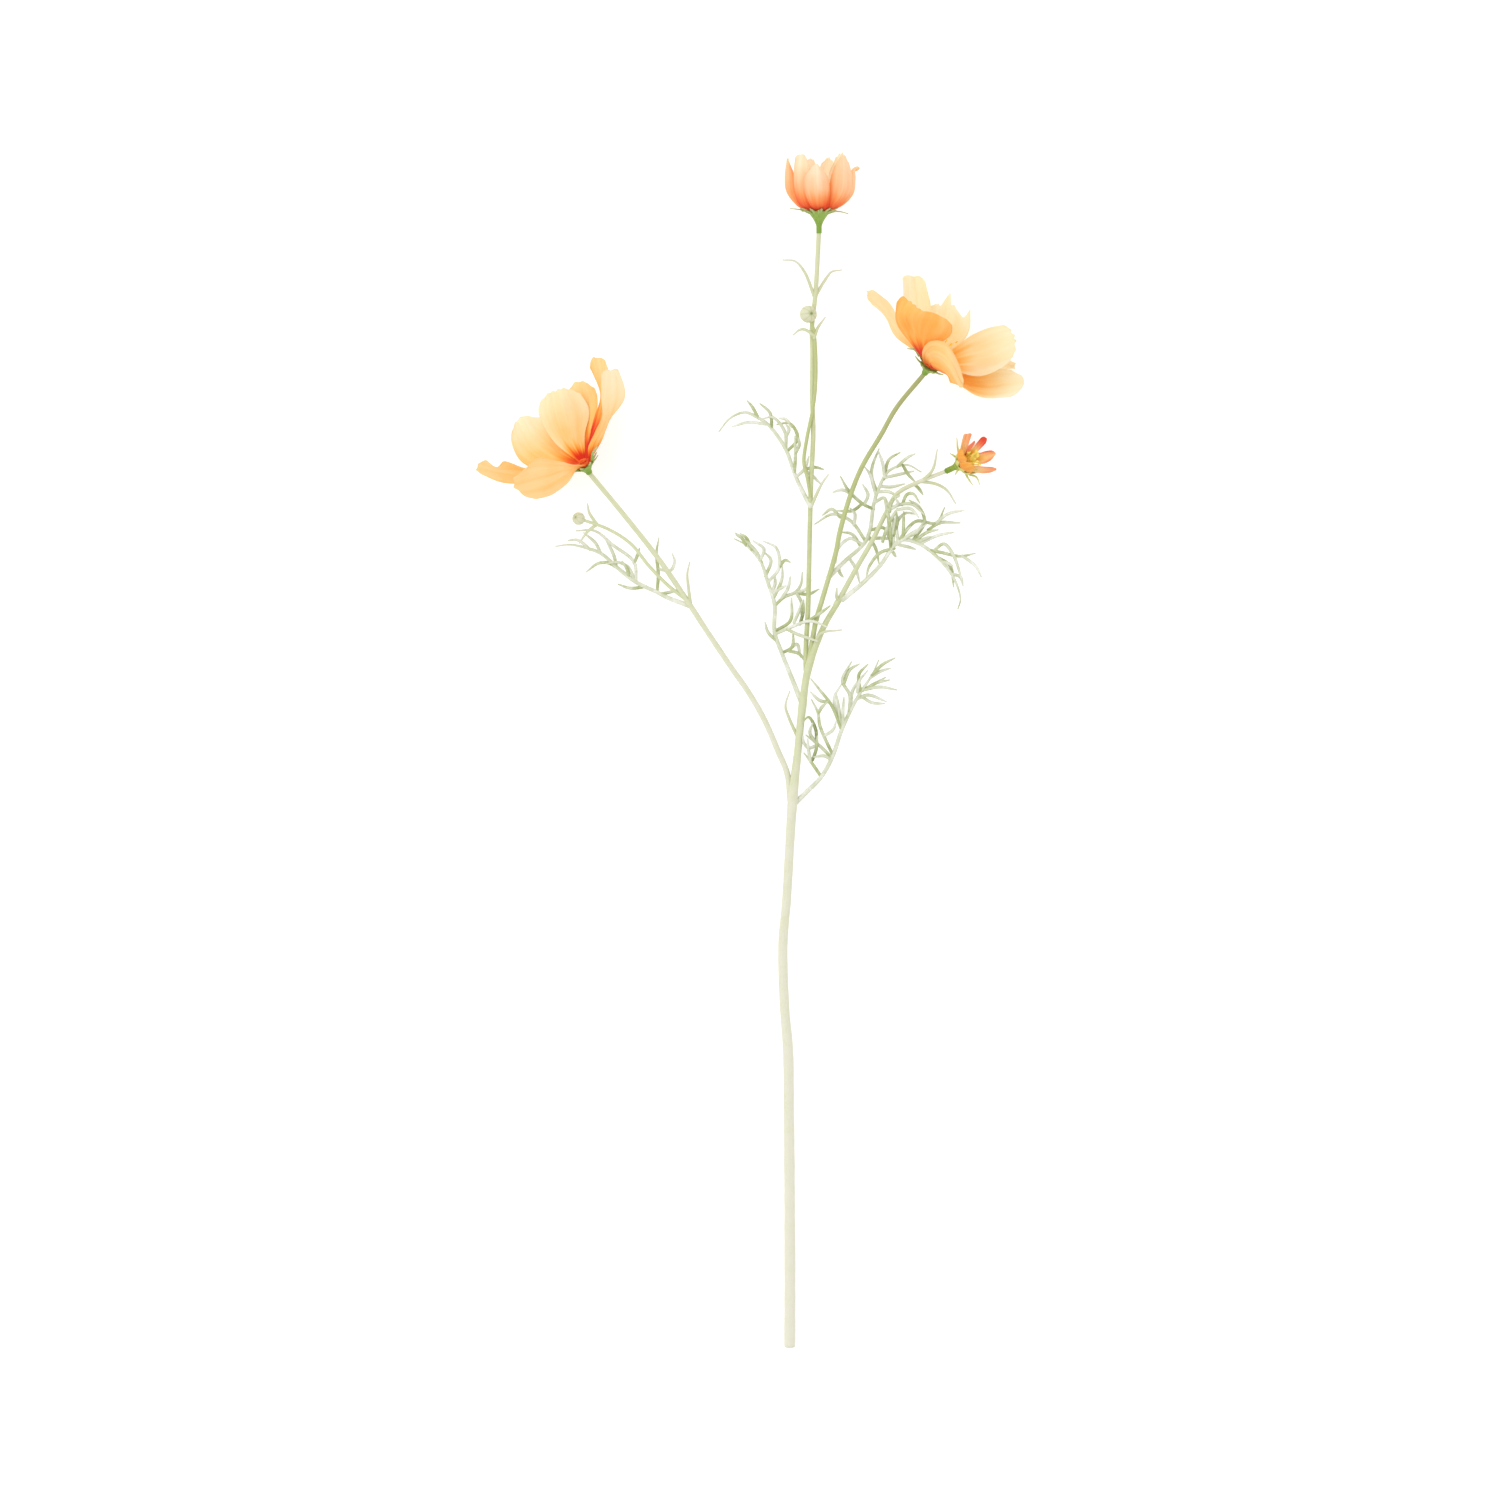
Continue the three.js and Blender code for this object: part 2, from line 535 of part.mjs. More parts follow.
const TIP_ROUND = 0.07; // share of the length by which the corners of a tip fall back

// How the petals of each kind of flower are made: how far from the axis they start, half their width
// there, their thickness and their rows and columns of faces
const BLOOM_BLADE = { rim: 4, claw: 1.5, thick: 0.8, grid: [5, 6] };
const TOP_BLADE = { rim: 3.4, claw: 2, thick: 0.7, grid: [6, 4] };
const DAISY_BLADE = { rim: 3, claw: 0.9, thick: 0.7, grid: [4, 2] };

// Floret disc: rings and points of its dome, and how far every second point stands out
const DISC_RINGS = 4;
const DISC_SIDES = 12;
const FLORET_RAISE = 0.3;

// Point of the table frame for a picture place and a height
function at(x, y, z) {
  return new THREE.Vector3((x - STEM_COLUMN) * SCALE, (FOOT_ROW - y) * SCALE, z);
}

// Solid for joining and cutting, from a closed geometry
function solidOf(geometry) {
  const bare = new THREE.BufferGeometry();
  bare.setAttribute("position", geometry.getAttribute("position"));
  bare.setIndex(geometry.index);
  const merged = mergeVertices(bare, 1e-4);
  return new wasm.Manifold(
    new wasm.Mesh({
      numProp: 3,
      vertProperties: merged.attributes.position.array,
      triVerts: new Uint32Array(merged.index.array),
    }),
  );
}

// Geometry that three.js draws, from a solid
function geometryOf(solid) {
  const mesh = solid.getMesh();
  const geometry = new THREE.BufferGeometry();
  geometry.setAttribute("position", new THREE.BufferAttribute(mesh.vertProperties.slice(), 3));
  geometry.setIndex(new THREE.BufferAttribute(mesh.triVerts.slice(), 1));
  geometry.computeVertexNormals();
  return geometry;
}

function joined(solids) {
  return solids.reduce((sum, next) => sum.add(next));
}

// The one body that stays when thin ends are cut off a solid
function largestBody(solid) {
  const bodies = solid.decompose();
  return bodies.reduce((best, next) => (next.volume() > best.volume() ? next : best));
}

// A round rod bent along a line of points, with its radius given at both ends or at each point
function rod(points, radii, { sides, steps }) {
  const curve = new THREE.CatmullRomCurve3(points, false, "centripetal");
  const frames = curve.computeFrenetFrames(steps, false);
  const geometry = new THREE.CylinderGeometry(1, 1, 1, sides, steps);
  const place = geometry.getAttribute("position");
  for (let i = 0; i < place.count; i++) {
    const share = place.getY(i) + 0.5;
    const step = Math.round(share * steps);
    const radius = radiusAt(radii, share);
    const point = curve.getPointAt(share);
    point.addScaledVector(frames.normals[step], -place.getX(i) * radius);
    point.addScaledVector(frames.binormals[step], place.getZ(i) * radius);
    place.setXYZ(i, point.x, point.y, point.z);
  }
  const solid = solidOf(geometry);
  return solid.volume() < 0 ? solidOf(turnedInsideOut(geometry)) : solid;
}

function turnedInsideOut(geometry) {
  const index = geometry.index.array;
  for (let i = 0; i < index.length; i += 3) {
    const first = index[i];
    index[i] = index[i + 1];
    index[i + 1] = first;
  }
  return geometry;
}

function radiusAt(radii, share) {
  const place = share * (radii.length - 1);
  const low = Math.min(Math.floor(place), radii.length - 2);
  return THREE.MathUtils.lerp(radii[low], radii[low + 1], place - low);
}

// A thin sheet of even thickness: both faces are split into the same triangles
function sheet(pointAt, rows, columns, thick) {
  const middle = [];
  for (let row = 0; row <= rows; row++) {
    for (let column = 0; column <= columns; column++) {
      middle.push(pointAt(row / rows, (2 * column) / columns - 1));
    }
  }
  const id = (row, column) => row * (columns + 1) + column;
  const clampRow = (row) => Math.min(Math.max(row, 0), rows);
  const clampColumn = (column) => Math.min(Math.max(column, 0), columns);
  const normals = middle.map((_, i) => {
    const row = Math.floor(i / (columns + 1));
    const column = i % (columns + 1);
    const along = middle[id(clampRow(row + 1), column)].clone().sub(middle[id(clampRow(row - 1), column)]);
    const across = middle[id(row, clampColumn(column + 1))].clone().sub(middle[id(row, clampColumn(column - 1))]);
    return across.cross(along).normalize();
  });
  const count = middle.length;
  const positions = [1, -1].flatMap((side) =>
    middle.flatMap((point, i) => point.clone().addScaledVector(normals[i], (side * thick) / 2).toArray()),
  );
  const faces = [];
  const quad = (a, b, c, d) => faces.push(a, b, c, a, c, d);
  for (let row = 0; row < rows; row++) {
    for (let column = 0; column < columns; column++) {
      const [a, b] = [id(row, column), id(row, column + 1)];
      const [c, d] = [id(row + 1, column + 1), id(row + 1, column)];
      quad(a, b, c, d);
      faces.push(count + a, count + c, count + b, count + a, count + d, count + c);
    }
  }
  for (let row = 0; row < rows; row++) {
    const [a, b] = [id(row, 0), id(row + 1, 0)];
    quad(count + a, a, b, count + b);
    const [c, d] = [id(row, columns), id(row + 1, columns)];
    quad(c, count + c, count + d, d);
  }
  for (let column = 0; column < columns; column++) {
    const [a, b] = [id(0, column), id(0, column + 1)];
    quad(a, count + a, count + b, b);
    const [c, d] = [id(rows, column), id(rows, column + 1)];
    quad(count + c, c, d, count + d);
  }
  const geometry = new THREE.BufferGeometry();
  geometry.setAttribute("position", new THREE.BufferAttribute(new Float32Array(positions), 3));
  geometry.setIndex(faces);
  const solid = solidOf(geometry);
  return solid.volume() < 0 ? solidOf(turnedInsideOut(geometry)) : solid;
}

// One petal: a sheet across its three rails, from its seat's rim to its tip
function petal(throat, axis, { left, middle, right, claw }, blade, extra) {
  const root = claw ?? blade.claw;
  const outward = at(...middle[0]).sub(throat).projectOnPlane(axis).normalize();
  const start = throat.clone().addScaledVector(outward, blade.rim);
  const edgeway = new THREE.Vector3().crossVectors(axis, outward);
  const side = Math.sign(edgeway.dot(at(...right[0]).sub(at(...left[0])))) || 1;
  const railFrom = (offset, places) => {
    const first = start.clone().addScaledVector(edgeway, side * offset);
    return new THREE.CatmullRomCurve3([first, ...places.map((place) => at(...place))], false, "centripetal");
  };
  const rails = [railFrom(-root, left), railFrom(0, middle), railFrom(root, right)];
  const behind = rails[1].getTangent(0).multiplyScalar(-extra / 2);
  const wider = 1 + extra / 2 / root;
  const pointAt = (t, s) => {
    const across = s * wider;
    const shares = [(across * (across - 1)) / 2, 1 - across * across, (across * (across + 1)) / 2];
    const point = behind.clone().multiplyScalar(1 - t);
    const along = t * (1 - TIP_ROUND * s ** 4);
    rails.forEach((rail, i) => point.addScaledVector(rail.getPoint(along), shares[i]));
    return point;
  };
  return sheet(pointAt, ...blade.grid, blade.thick + extra);
}

// The direction in which a flower looks, and a frame around it
function axisOf(head) {
  const angle = THREE.MathUtils.degToRad(head.angle);
  const tilt = THREE.MathUtils.degToRad(head.tilt);
  const flat = Math.cos(tilt);
  return new THREE.Vector3(Math.cos(angle) * flat, Math.sin(angle) * flat, Math.sin(tilt));
}

function headFrame(head) {
  const axis = axisOf(head);
  const side = new THREE.Vector3(0, 0, 1).cross(axis).normalize().negate();
  const front = new THREE.Vector3().crossVectors(side, axis).negate();
  return { axis, side, front, neck: at(...head.neck, head.height) };
}

// Point of a flower from its radius, height above the neck and turn round the axis
function headPoint(head, radius, rise, turn) {
  const { axis, side, front, neck } = headFrame(head);
  const angle = THREE.MathUtils.degToRad(turn);
  return neck
    .addScaledVector(axis, rise)
    .addScaledVector(side, radius * Math.cos(angle))
    .addScaledVector(front, radius * Math.sin(angle));
}

// A solid made about the upright Y axis, set on a flower's axis with its zero at the neck
function placedOnAxis(head, geometry) {
  const up = new THREE.Quaternion().setFromUnitVectors(new THREE.Vector3(0, 1, 0), axisOf(head));
  geometry.applyQuaternion(up);
  geometry.translate(...at(...head.neck, head.height).toArray());
  const solid = solidOf(geometry);
  return solid.volume() < 0 ? solidOf(turnedInsideOut(geometry)) : solid;
}

// A turned solid that stands on a flower's axis
function turned(head, profile) {
  const points = profile.map(([radius, rise]) => new THREE.Vector2(radius, rise));
  return placedOnAxis(head, new THREE.LatheGeometry(points, TURNED_SIDES));
}

// The seat that holds a flower's petals together at its throat
function seat(head, rim, extra) {
  const radius = rim + extra / 2;
  const low = head.throat - (SEAT_THICK + extra) / 2;
  const high = head.throat + (SEAT_THICK + extra) / 2;
  return turned(head, [[0, low], [radius, low], [radius, high], [0, high]]);
}

function petals(head, shapes, blade, extra) {
  const axis = axisOf(head);
  const throat = at(...head.neck, head.height).addScaledVector(axis, head.throat);
  const blades = Object.values(shapes).map((rails) => petal(throat, axis, rails, blade, extra));
  return joined([seat(head, blade.rim + SEAT_EDGE, extra), ...blades]);
}

// The green calyx: a funnel and a ring of pointed bracts
function calyx(head, profile, bract) {
  const body = turned(head, profile);
  const spikes = [];
  for (let i = 0; i < bract.count; i++) {
    const turn = (360 * (i + bract.start)) / bract.count;
    const points = bract.line.map(([radius, rise]) => headPoint(head, radius, rise, turn));
    spikes.push(rod(points, [bract.thick / 2, TWIG_TIP / 2], BRACT_ROD));
  }
  return joined([body, ...spikes]);
}

// The daisy's calyx has bracts that each follow a route of their own
function daisyCalyx() {
  const body = turned(DAISY_HEAD, DAISY_CUP);
  const spikes = DAISY_BRACTS.routes.map((route) => {
    const points = route.map((place) => at(...place));
    return rod(points, [DAISY_BRACTS.thick / 2, TWIG_TIP / 2], DAISY_BRACT_ROD);
  });
  return joined([body, ...spikes]);
}

// The floret disc: a dome whose surface stands up in alternate points, ring by ring
function disc(head, radius, height) {
  const low = head.throat + SEAT_THICK / 2 + GAP;
  const profile = [new THREE.Vector2(0, low), new THREE.Vector2(radius, low)];
  for (let ring = 1; ring <= DISC_RINGS; ring++) {
    const angle = (ring / DISC_RINGS) * (Math.PI / 2);
    profile.push(new THREE.Vector2(radius * Math.cos(angle), low + height * Math.sin(angle)));
  }
  profile[profile.length - 1].x = 0;
  const geometry = new THREE.LatheGeometry(profile, DISC_SIDES);
  const place = geometry.getAttribute("position");
  const point = new THREE.Vector3();
  for (let i = 0; i < place.count; i++) {
    const segment = Math.floor(i / profile.length);
    const ring = (i % profile.length) - 1;
    point.fromBufferAttribute(place, i);
    const raised = ring > 0 && ring < DISC_RINGS && (segment + ring) % 2 === 0;
    if (raised) point.add(new THREE.Vector3(point.x, point.y - low, point.z).multiplyScalar(FLORET_RAISE));
    place.setXYZ(i, point.x, point.y, point.z);
  }
  return placedOnAxis(head, geometry);
}

// Height along a branch, and its points in the table frame
function branchPoints({ route, height }) {
  const flat = route.map(([x, y]) => at(x, y, 0));
  const lengths = [0];
  for (let i = 1; i < flat.length; i++) {
    lengths.push(lengths[i - 1] + flat[i].distanceTo(flat[i - 1]));
  }
  const full = lengths[lengths.length - 1];
  flat.forEach((point, i) => {
    point.z = THREE.MathUtils.lerp(height[0], height[1], lengths[i] / full);
  });
  return flat;
}

function mainStemPoints() {
  const flat = MAIN_STEM.map(([x, y]) => at(x, y, 0));
  const full = flat[flat.length - 1].y;
  flat.forEach((point) => {
    const share = point.y / full;
    point.z = MAIN_HEIGHTS.foot + (MAIN_HEIGHTS.end - MAIN_HEIGHTS.foot) * share ** MAIN_HEIGHTS.ease;
  });
  return flat;
}

function branchRod(branch, extra, make) {
  const radii = branch.width.map((width) => (width * SCALE) / 2 + extra);
  return rod(branchPoints(branch), radii, make);
}

function mainStemRod(extra) {
  const points = mainStemPoints();
  const curve = new THREE.CatmullRomCurve3(points, false, "centripetal");
  const radii = Array.from({ length: MAIN_ROD.steps + 1 }, (_, i) => {
    const place = curve.getPointAt(i / MAIN_ROD.steps);
    const row = FOOT_ROW - place.y / SCALE;
    const next = Math.max(1, MAIN_STEM.findIndex(([, y]) => y <= row + ROW_SLACK));
    const [[, y0, w0], [, y1, w1]] = [MAIN_STEM[next - 1], MAIN_STEM[next]];
    return (THREE.MathUtils.lerp(w0, w1, (row - y0) / (y1 - y0)) * SCALE) / 2 + extra;
  });
  return rod(points, radii, MAIN_ROD);
}

function stem(extra) {
  const branches = [LEFT_BRANCH, CENTRE_STEM, RIGHT_STEM, DAISY_STEM].map((branch) =>
    branchRod(branch, extra, BRANCH_ROD),
  );
  const stalks = [CENTRE_BUD_STALK, LEFT_BUD_STALK].map((branch) => branchRod(branch, extra, STALK_ROD));
  const twigs = STEM_TWIGS.map((twig) => {
    const radii = [(STEM_TWIG_WIDTH * SCALE) / 2 + extra, TWIG_TIP / 2 + extra];
    return rod(branchPoints(twig), radii, TWIG_ROD);
  });
  return joined([mainStemRod(extra), ...branches, ...stalks, ...twigs]);
}

function bud({ centre, height, radius }, extra) {
  const geometry = new THREE.IcosahedronGeometry(radius + extra, 1);
  geometry.translate(...at(...centre, height).toArray());
  return solidOf(geometry);
}

// A feathery leaf: every strand starts at the height of the strand that it grows from
function frond({ heights, strands }) {
  const root = at(...strands[0].route[0], 0);
  const heightAt = (point) => {
    const away = Math.hypot(point.x - root.x, point.y - root.y);
    const next = heights.findIndex(([distance]) => distance >= away);
    if (next <= 0) return next === 0 ? heights[0][1] : heights[heights.length - 1][1];
    const [[d0, z0], [d1, z1]] = [heights[next - 1], heights[next]];
    return THREE.MathUtils.lerp(z0, z1, (away - d0) / (d1 - d0));
  };
  const grown = [];
  const rods = strands.map(({ lift, wide, route }) => {
    const points = route.map(([x, y]) => at(x, y, 0));
    const start = points[0].clone();
    const startHeight = grown.length ? nearestHeight(grown, start) : heightAt(start);
    const shift = startHeight - heightAt(start);
    const last = points.length - 1;
    points.forEach((point, i) => {
      point.z = heightAt(point) + shift + lift * (i / last) ** 1.5;
    });
    const curve = new THREE.CatmullRomCurve3(points, false, "centripetal");
    grown.push(...curve.getPoints(6 * last));
    const radii = [((wide ?? LEAFLET_WIDTH) * SCALE) / 2, TWIG_TIP / 2];
    return rod(points, radii, { sides: TWIG_ROD.sides, steps: wide ? last + 2 : last });
  });
  return joined(rods);
}

function nearestHeight(grown, start) {
  const flatDistance = (point) => Math.hypot(point.x - start.x, point.y - start.y);
  const nearest = grown.reduce((best, next) => (flatDistance(next) < flatDistance(best) ? next : best));
  return nearest.z;
}

function table() {
  const geometry = new THREE.BoxGeometry(TABLE_SIZE, TABLE_SIZE, TABLE_DEPTH);
  geometry.translate(0, SPRAY_LENGTH / 2, -TABLE_DEPTH / 2);
  return solidOf(geometry);
}

// Materials
function matt(colour, roughness) {
  return new THREE.MeshStandardMaterial({ color: colour, roughness, metalness: 0 });
}
const stemGreen = matt(0xdfe3c4, 0.85);
const leafGreen = matt(0xd7e0ba, 0.85);
const calyxGreen = matt(0x77a24b, 0.7);
const budGreen = matt(0xc3c9a4, 0.8);
const apricot = matt(0xfbc98a, 0.75);
const coral = matt(0xf7a585, 0.75);
const orange = matt(0xf2894f, 0.75);
const yellow = matt(0xe8b53a, 0.8);

const group = new THREE.Group();

function addPiece(name, solid, material) {
  const mesh = new THREE.Mesh(geometryOf(solid), material);
  mesh.name = name;
  group.add(mesh);
}

// The stem, cut clear of the buds, with its foot flat on the table
const budSpaces = [CENTRE_BUD, LEFT_BUD].map((one) => bud(one, GAP));
const tableSolid = table();
const stemSpace = stem(GAP);
addPiece("stem", largestBody(stem(0).subtract(joined(budSpaces)).subtract(tableSolid)), stemGreen);
addPiece("centre_bud", bud(CENTRE_BUD, 0), budGreen);
addPiece("left_bud", bud(LEFT_BUD, 0), budGreen);

// The feathery leaves, each cut clear of the stem
const FRONDS = {
  left_frond: LEFT_FROND,
  upper_left_frond: UPPER_LEFT_FROND,
  middle_left_frond: MIDDLE_LEFT_FROND,
  lower_right_frond: LOWER_RIGHT_FROND,
  right_frond: RIGHT_FROND,
  arching_frond: ARCHING_FROND,
};
for (const [name, leaf] of Object.entries(FRONDS)) {
  addPiece(name, largestBody(frond(leaf).subtract(stemSpace)), leafGreen);
}

// The flowers: calyx and disc are cut clear of the petals
const FUNNEL = [[0, GAP], [1.5, GAP], [1.9, 2], [5.2, 4.8], [4.6, 5.3], [0, 5.3]];
const BLOOM_BRACTS = { count: 8, start: 0.5, thick: 1.5, line: [[3.8, 4.8], [7.2, 6], [9.8, 7.6]] };
const SLEEVE = [[0, GAP], [1.5, GAP], [1.6, 4.4], [2.6, 7], [5.2, 10.8], [4.4, 11.4], [0, 11.4]];
const TOP_BRACTS = { count: 8, start: 0, thick: 1.5, line: [[3.6, 10], [9.5, 12.4], [15.5, 13]] };
const DAISY_CUP = [[0, GAP], [1.5, GAP], [1.6, 6], [3.7, 11], [3.3, 13.4], [0, 13.4]];
const DAISY_BRACTS = {
  thick: 1.4,
  routes: [
    [[960.9, 460.4, 39.1], [957.6, 450, 39.5], [956.4, 438, 40.5]],
    [[959.5, 461.7, 40.3], [954.5, 457, 42], [949.5, 454, 43]],
    [[961, 467, 40.5], [957, 471.5, 41.5], [954.5, 475.5, 42]],
    [[962.9, 467.5, 39.8], [967, 477.5, 40], [972.5, 486, 42]],
    [[963.7, 467.3, 39.3], [968.5, 474.5, 38.5], [976, 477.5, 38], [979.7, 485.5, 37.5]],
    [[962, 460.5, 38.3], [963, 452, 36.5], [964.5, 445, 35.5]],
    [[964.2, 463.3, 37.8], [971, 459, 32], [977, 456, 28.5]],
    [[964, 466, 38.3], [972, 469.5, 34], [979, 472, 31.5]],
  ],
};

const FLOWERS = [
  {
    name: "left_bloom",
    head: LEFT_HEAD,
    petals: (extra) => petals(LEFT_HEAD, LEFT_PETALS, BLOOM_BLADE, extra),
    calyx: () => calyx(LEFT_HEAD, FUNNEL, BLOOM_BRACTS),
    disc: () => disc(LEFT_HEAD, 2.4, 3.4),
    petalColour: apricot,
  },
  {
    name: "right_bloom",
    head: RIGHT_HEAD,
    petals: (extra) => petals(RIGHT_HEAD, RIGHT_PETALS, BLOOM_BLADE, extra),
    calyx: () => calyx(RIGHT_HEAD, FUNNEL, BLOOM_BRACTS),
    disc: () => disc(RIGHT_HEAD, 2.4, 3.4),
    petalColour: apricot,
  },
  {
    name: "top_flower",
    head: TOP_HEAD,
    petals: (extra) => petals(TOP_HEAD, TOP_PETALS, TOP_BLADE, extra),
    calyx: () => calyx(TOP_HEAD, SLEEVE, TOP_BRACTS),
    disc: () => disc(TOP_HEAD, 2.4, 3.2),
    petalColour: coral,
  },
  {
    name: "daisy",
    head: DAISY_HEAD,
    petals: (extra) => petals(DAISY_HEAD, DAISY_PETALS, DAISY_BLADE, extra),
    calyx: () => daisyCalyx(),
    disc: () => disc(DAISY_HEAD, 2.8, 3.4),
    petalColour: orange,
  },
];
for (const flower of FLOWERS) {
  const petalSpace = flower.petals(2 * GAP);
  addPiece(`${flower.name}_petals`, flower.petals(0).subtract(tableSolid), flower.petalColour);
  const calyxSolid = flower.calyx().subtract(petalSpace).subtract(stemSpace);
  addPiece(`${flower.name}_calyx`, largestBody(calyxSolid), calyxGreen);
  addPiece(`${flower.name}_disc`, largestBody(flower.disc().subtract(petalSpace)), yellow);
}

// The origin lies under the middle of the spray, on the table
const box = new THREE.Box3().setFromObject(group, true);
const middle = box.getCenter(new THREE.Vector3());
group.position.set(-middle.x, -middle.y, -box.min.z);

export default group;
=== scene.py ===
# Cosmos spray lying on a pale table: one cut stem with its branches, two wide blooms, a half-open
# flower, a small daisy, two round buds and six feathery leaves. Sizes are in millimetres, and
# picture places are in picture units, x to the right and y down.
import math

import bpy
import numpy as np
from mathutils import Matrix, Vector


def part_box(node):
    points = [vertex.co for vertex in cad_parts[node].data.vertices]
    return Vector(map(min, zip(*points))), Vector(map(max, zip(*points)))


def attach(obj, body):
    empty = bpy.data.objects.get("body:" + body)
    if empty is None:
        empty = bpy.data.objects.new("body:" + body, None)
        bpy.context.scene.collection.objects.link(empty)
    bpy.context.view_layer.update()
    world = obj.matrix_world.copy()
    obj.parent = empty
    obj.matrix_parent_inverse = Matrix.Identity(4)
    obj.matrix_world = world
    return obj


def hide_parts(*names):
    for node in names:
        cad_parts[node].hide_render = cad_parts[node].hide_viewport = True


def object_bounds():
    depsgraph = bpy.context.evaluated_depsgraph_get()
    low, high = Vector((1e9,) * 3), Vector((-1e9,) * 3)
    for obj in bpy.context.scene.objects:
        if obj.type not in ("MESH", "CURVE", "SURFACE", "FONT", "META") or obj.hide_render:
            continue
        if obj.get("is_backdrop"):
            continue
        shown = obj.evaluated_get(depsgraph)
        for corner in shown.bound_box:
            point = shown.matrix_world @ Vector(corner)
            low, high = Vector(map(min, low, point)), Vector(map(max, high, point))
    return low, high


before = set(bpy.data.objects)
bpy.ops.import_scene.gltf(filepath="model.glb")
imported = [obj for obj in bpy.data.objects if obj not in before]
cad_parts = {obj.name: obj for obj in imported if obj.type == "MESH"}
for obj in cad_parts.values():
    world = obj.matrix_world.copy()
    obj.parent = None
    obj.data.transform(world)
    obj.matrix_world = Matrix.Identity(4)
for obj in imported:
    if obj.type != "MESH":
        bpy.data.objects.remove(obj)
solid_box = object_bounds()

# Driving sizes
MM = 0.001
SPRAY_LENGTH = 635
TOP_ROW = 151.5
FOOT_ROW = 1349.5
STEM_COLUMN = 789.8
SCALE = SPRAY_LENGTH / (FOOT_ROW - TOP_ROW)
GAP = 0.3
GOLDEN_TURN = math.radians(137.508)

# Stem, branches and bud stalks: steps along, sides round, and count and depth of the fine ribs;
# the sheath at a branch's root, the slight waves in its width, and how far its lower green goes up
MAIN_STEPS, MAIN_SIDES, MAIN_RIBS = 320, 28, (9, 0.018)
BRANCH_STEPS, BRANCH_SIDES, BRANCH_RIBS = 120, 22, (7, 0.02)
STALK_STEPS, STALK_SIDES, STALK_RIBS = 80, 16, (5, 0.03)
NO_RIBS = (0, 0)
FOOT_DOME = 0.3
SHEATH_SWELL, SHEATH_REACH = 0.16, 0.05
BRANCH_WAVE, BRANCH_WAVE_PACE = 0.012, 60
GREEN_START = 0.25

# Thread-like stem leaves: width in picture units, swelling at the root, thickness of the tip,
# green at both ends, and how far they are squeezed flat
TWIG_STEPS, TWIG_SIDES = 36, 12
TWIG_WIDTH, TWIG_ROOT, TWIG_TIP = 3, 1.15, 0.75
TWIG_GREEN = (0.35, 0.08)
TWIG_FLAT = 0.8

# Strands of the feathery leaves: usual width in picture units, radii from root to tip as shares of
# half the width, the midrib's wide foot, greens, flatness, and how late a strand rises. What
# differs from one piece to the next is given as its usual value, its spread and the pace of change
STRAND_STEPS, STRAND_SIDES = 9, 10
LEAFLET_WIDTH = 3.2
STRAND_RADII = [1, 1.1, 1.1, 0.9]
RIB_FOOT = 1.45
RIB_GREEN = (0.2, 0.36)
STRAND_GREEN = (0.5, 0.24, 2.4)
TIP_GREEN = 0.6
STRAND_FLAT = 0.78
LIFT_EASE = 1.5
GROWN_STEPS = 6

# Round buds: rings and sides, the dimple at the tip, and the seams, which deepen and fade again
# between angles from the tip in radians
BUD_RINGS, BUD_SIDES, BUD_POLE = 44, 64, 0.02
DIMPLE_REACH, DIMPLE_DEPTH = 0.34, 0.17
BUD_SEAMS, SEAM_DEPTH, SEAM_SHARPNESS = 8, 0.035, 0.35
SEAMS_DEEPEN, SEAMS_FADE = (0.15, 0.5), (1.7, 2.4)

# Petals: how quickly the pleats, finer creases and waves of the rim follow each other, where they
# start, how each petal's differ from the last one's, how the tip is rounded and where it is cut,
# and how much thinner the rim is
PLEAT_PACE, PLEAT_SWAY = 8.5, 0.9
CREASE_PACE, CREASE_LEAN, CREASE_SHARE = 21, 1.4, 0.5
SIDE_WAVE_PACE, TIP_WAVE_PACE = 10, 6
FOLDS_START = (0.05, 0.4)
PHASE_STEP = 1.9
TIP_ROUND = 0.07
CUT_START = 0.6
RIM_THIN = 0.55

# Colour of the petals: depth, pace and shift of the flames that the blush ends in, where the blush
# starts and the tip's tone begins, how the edge tones come in and fade, which are partly the cloth's
# own deeper or paler margins and partly painted shade in the creases between petals, and how much
# painted shade darkens the pleats' valleys and painted highlight pales their ridges
FLAMES = [(0.22, 9, 1), (0.16, 22, 2)]
BLUSH_START = 0.04
TIP_FADE = 0.35
EDGE_CURVE, EDGE_FADE = 2.5, 0.3
PAINTED_FOLD_SHADE = 0.035

# Seat under the disc: radius as a share of its rim and rise as a share of its thickness
SEAT_PROFILE = [
    (0.05, -0.5), (0.86, -0.5), (0.97, -0.3), (1, 0), (0.97, 0.3), (0.86, 0.5), (0.05, 0.5),
]
SEAT_THICK = 1.6
SEAT_EDGE = 1
SEAT_TONE = 0.9

# Cups and bracts: steps, ribs and tones of a cup; rows and columns, thickness and dish of a bract,
# how its width runs from the foot to the point, its length and sway in the ring, and its tones
CUP_STEPS, CUP_RIBS = 40, (8, 0.03)
CUP_TONES = [0.05, 0.3]
RING_BRACT_GRID, LOOSE_BRACT_GRID = (24, 8), (24, 6)
BRACT_THICK = 0.45
BRACT_DISH = 0.3
BRACT_FOOT, BRACT_WIDEN, BRACT_POINT, BRACT_TIP = 0.6, 0.9, 0.85, 0.08
BRACT_LONG = (1, 0.05, 2.3)
BRACT_SWAY = (0, 0.06, 4.1)
RING_BRACT_TONE, LOOSE_BRACT_TONE, BRACT_FADE = 0.35, 0.45, 0.5

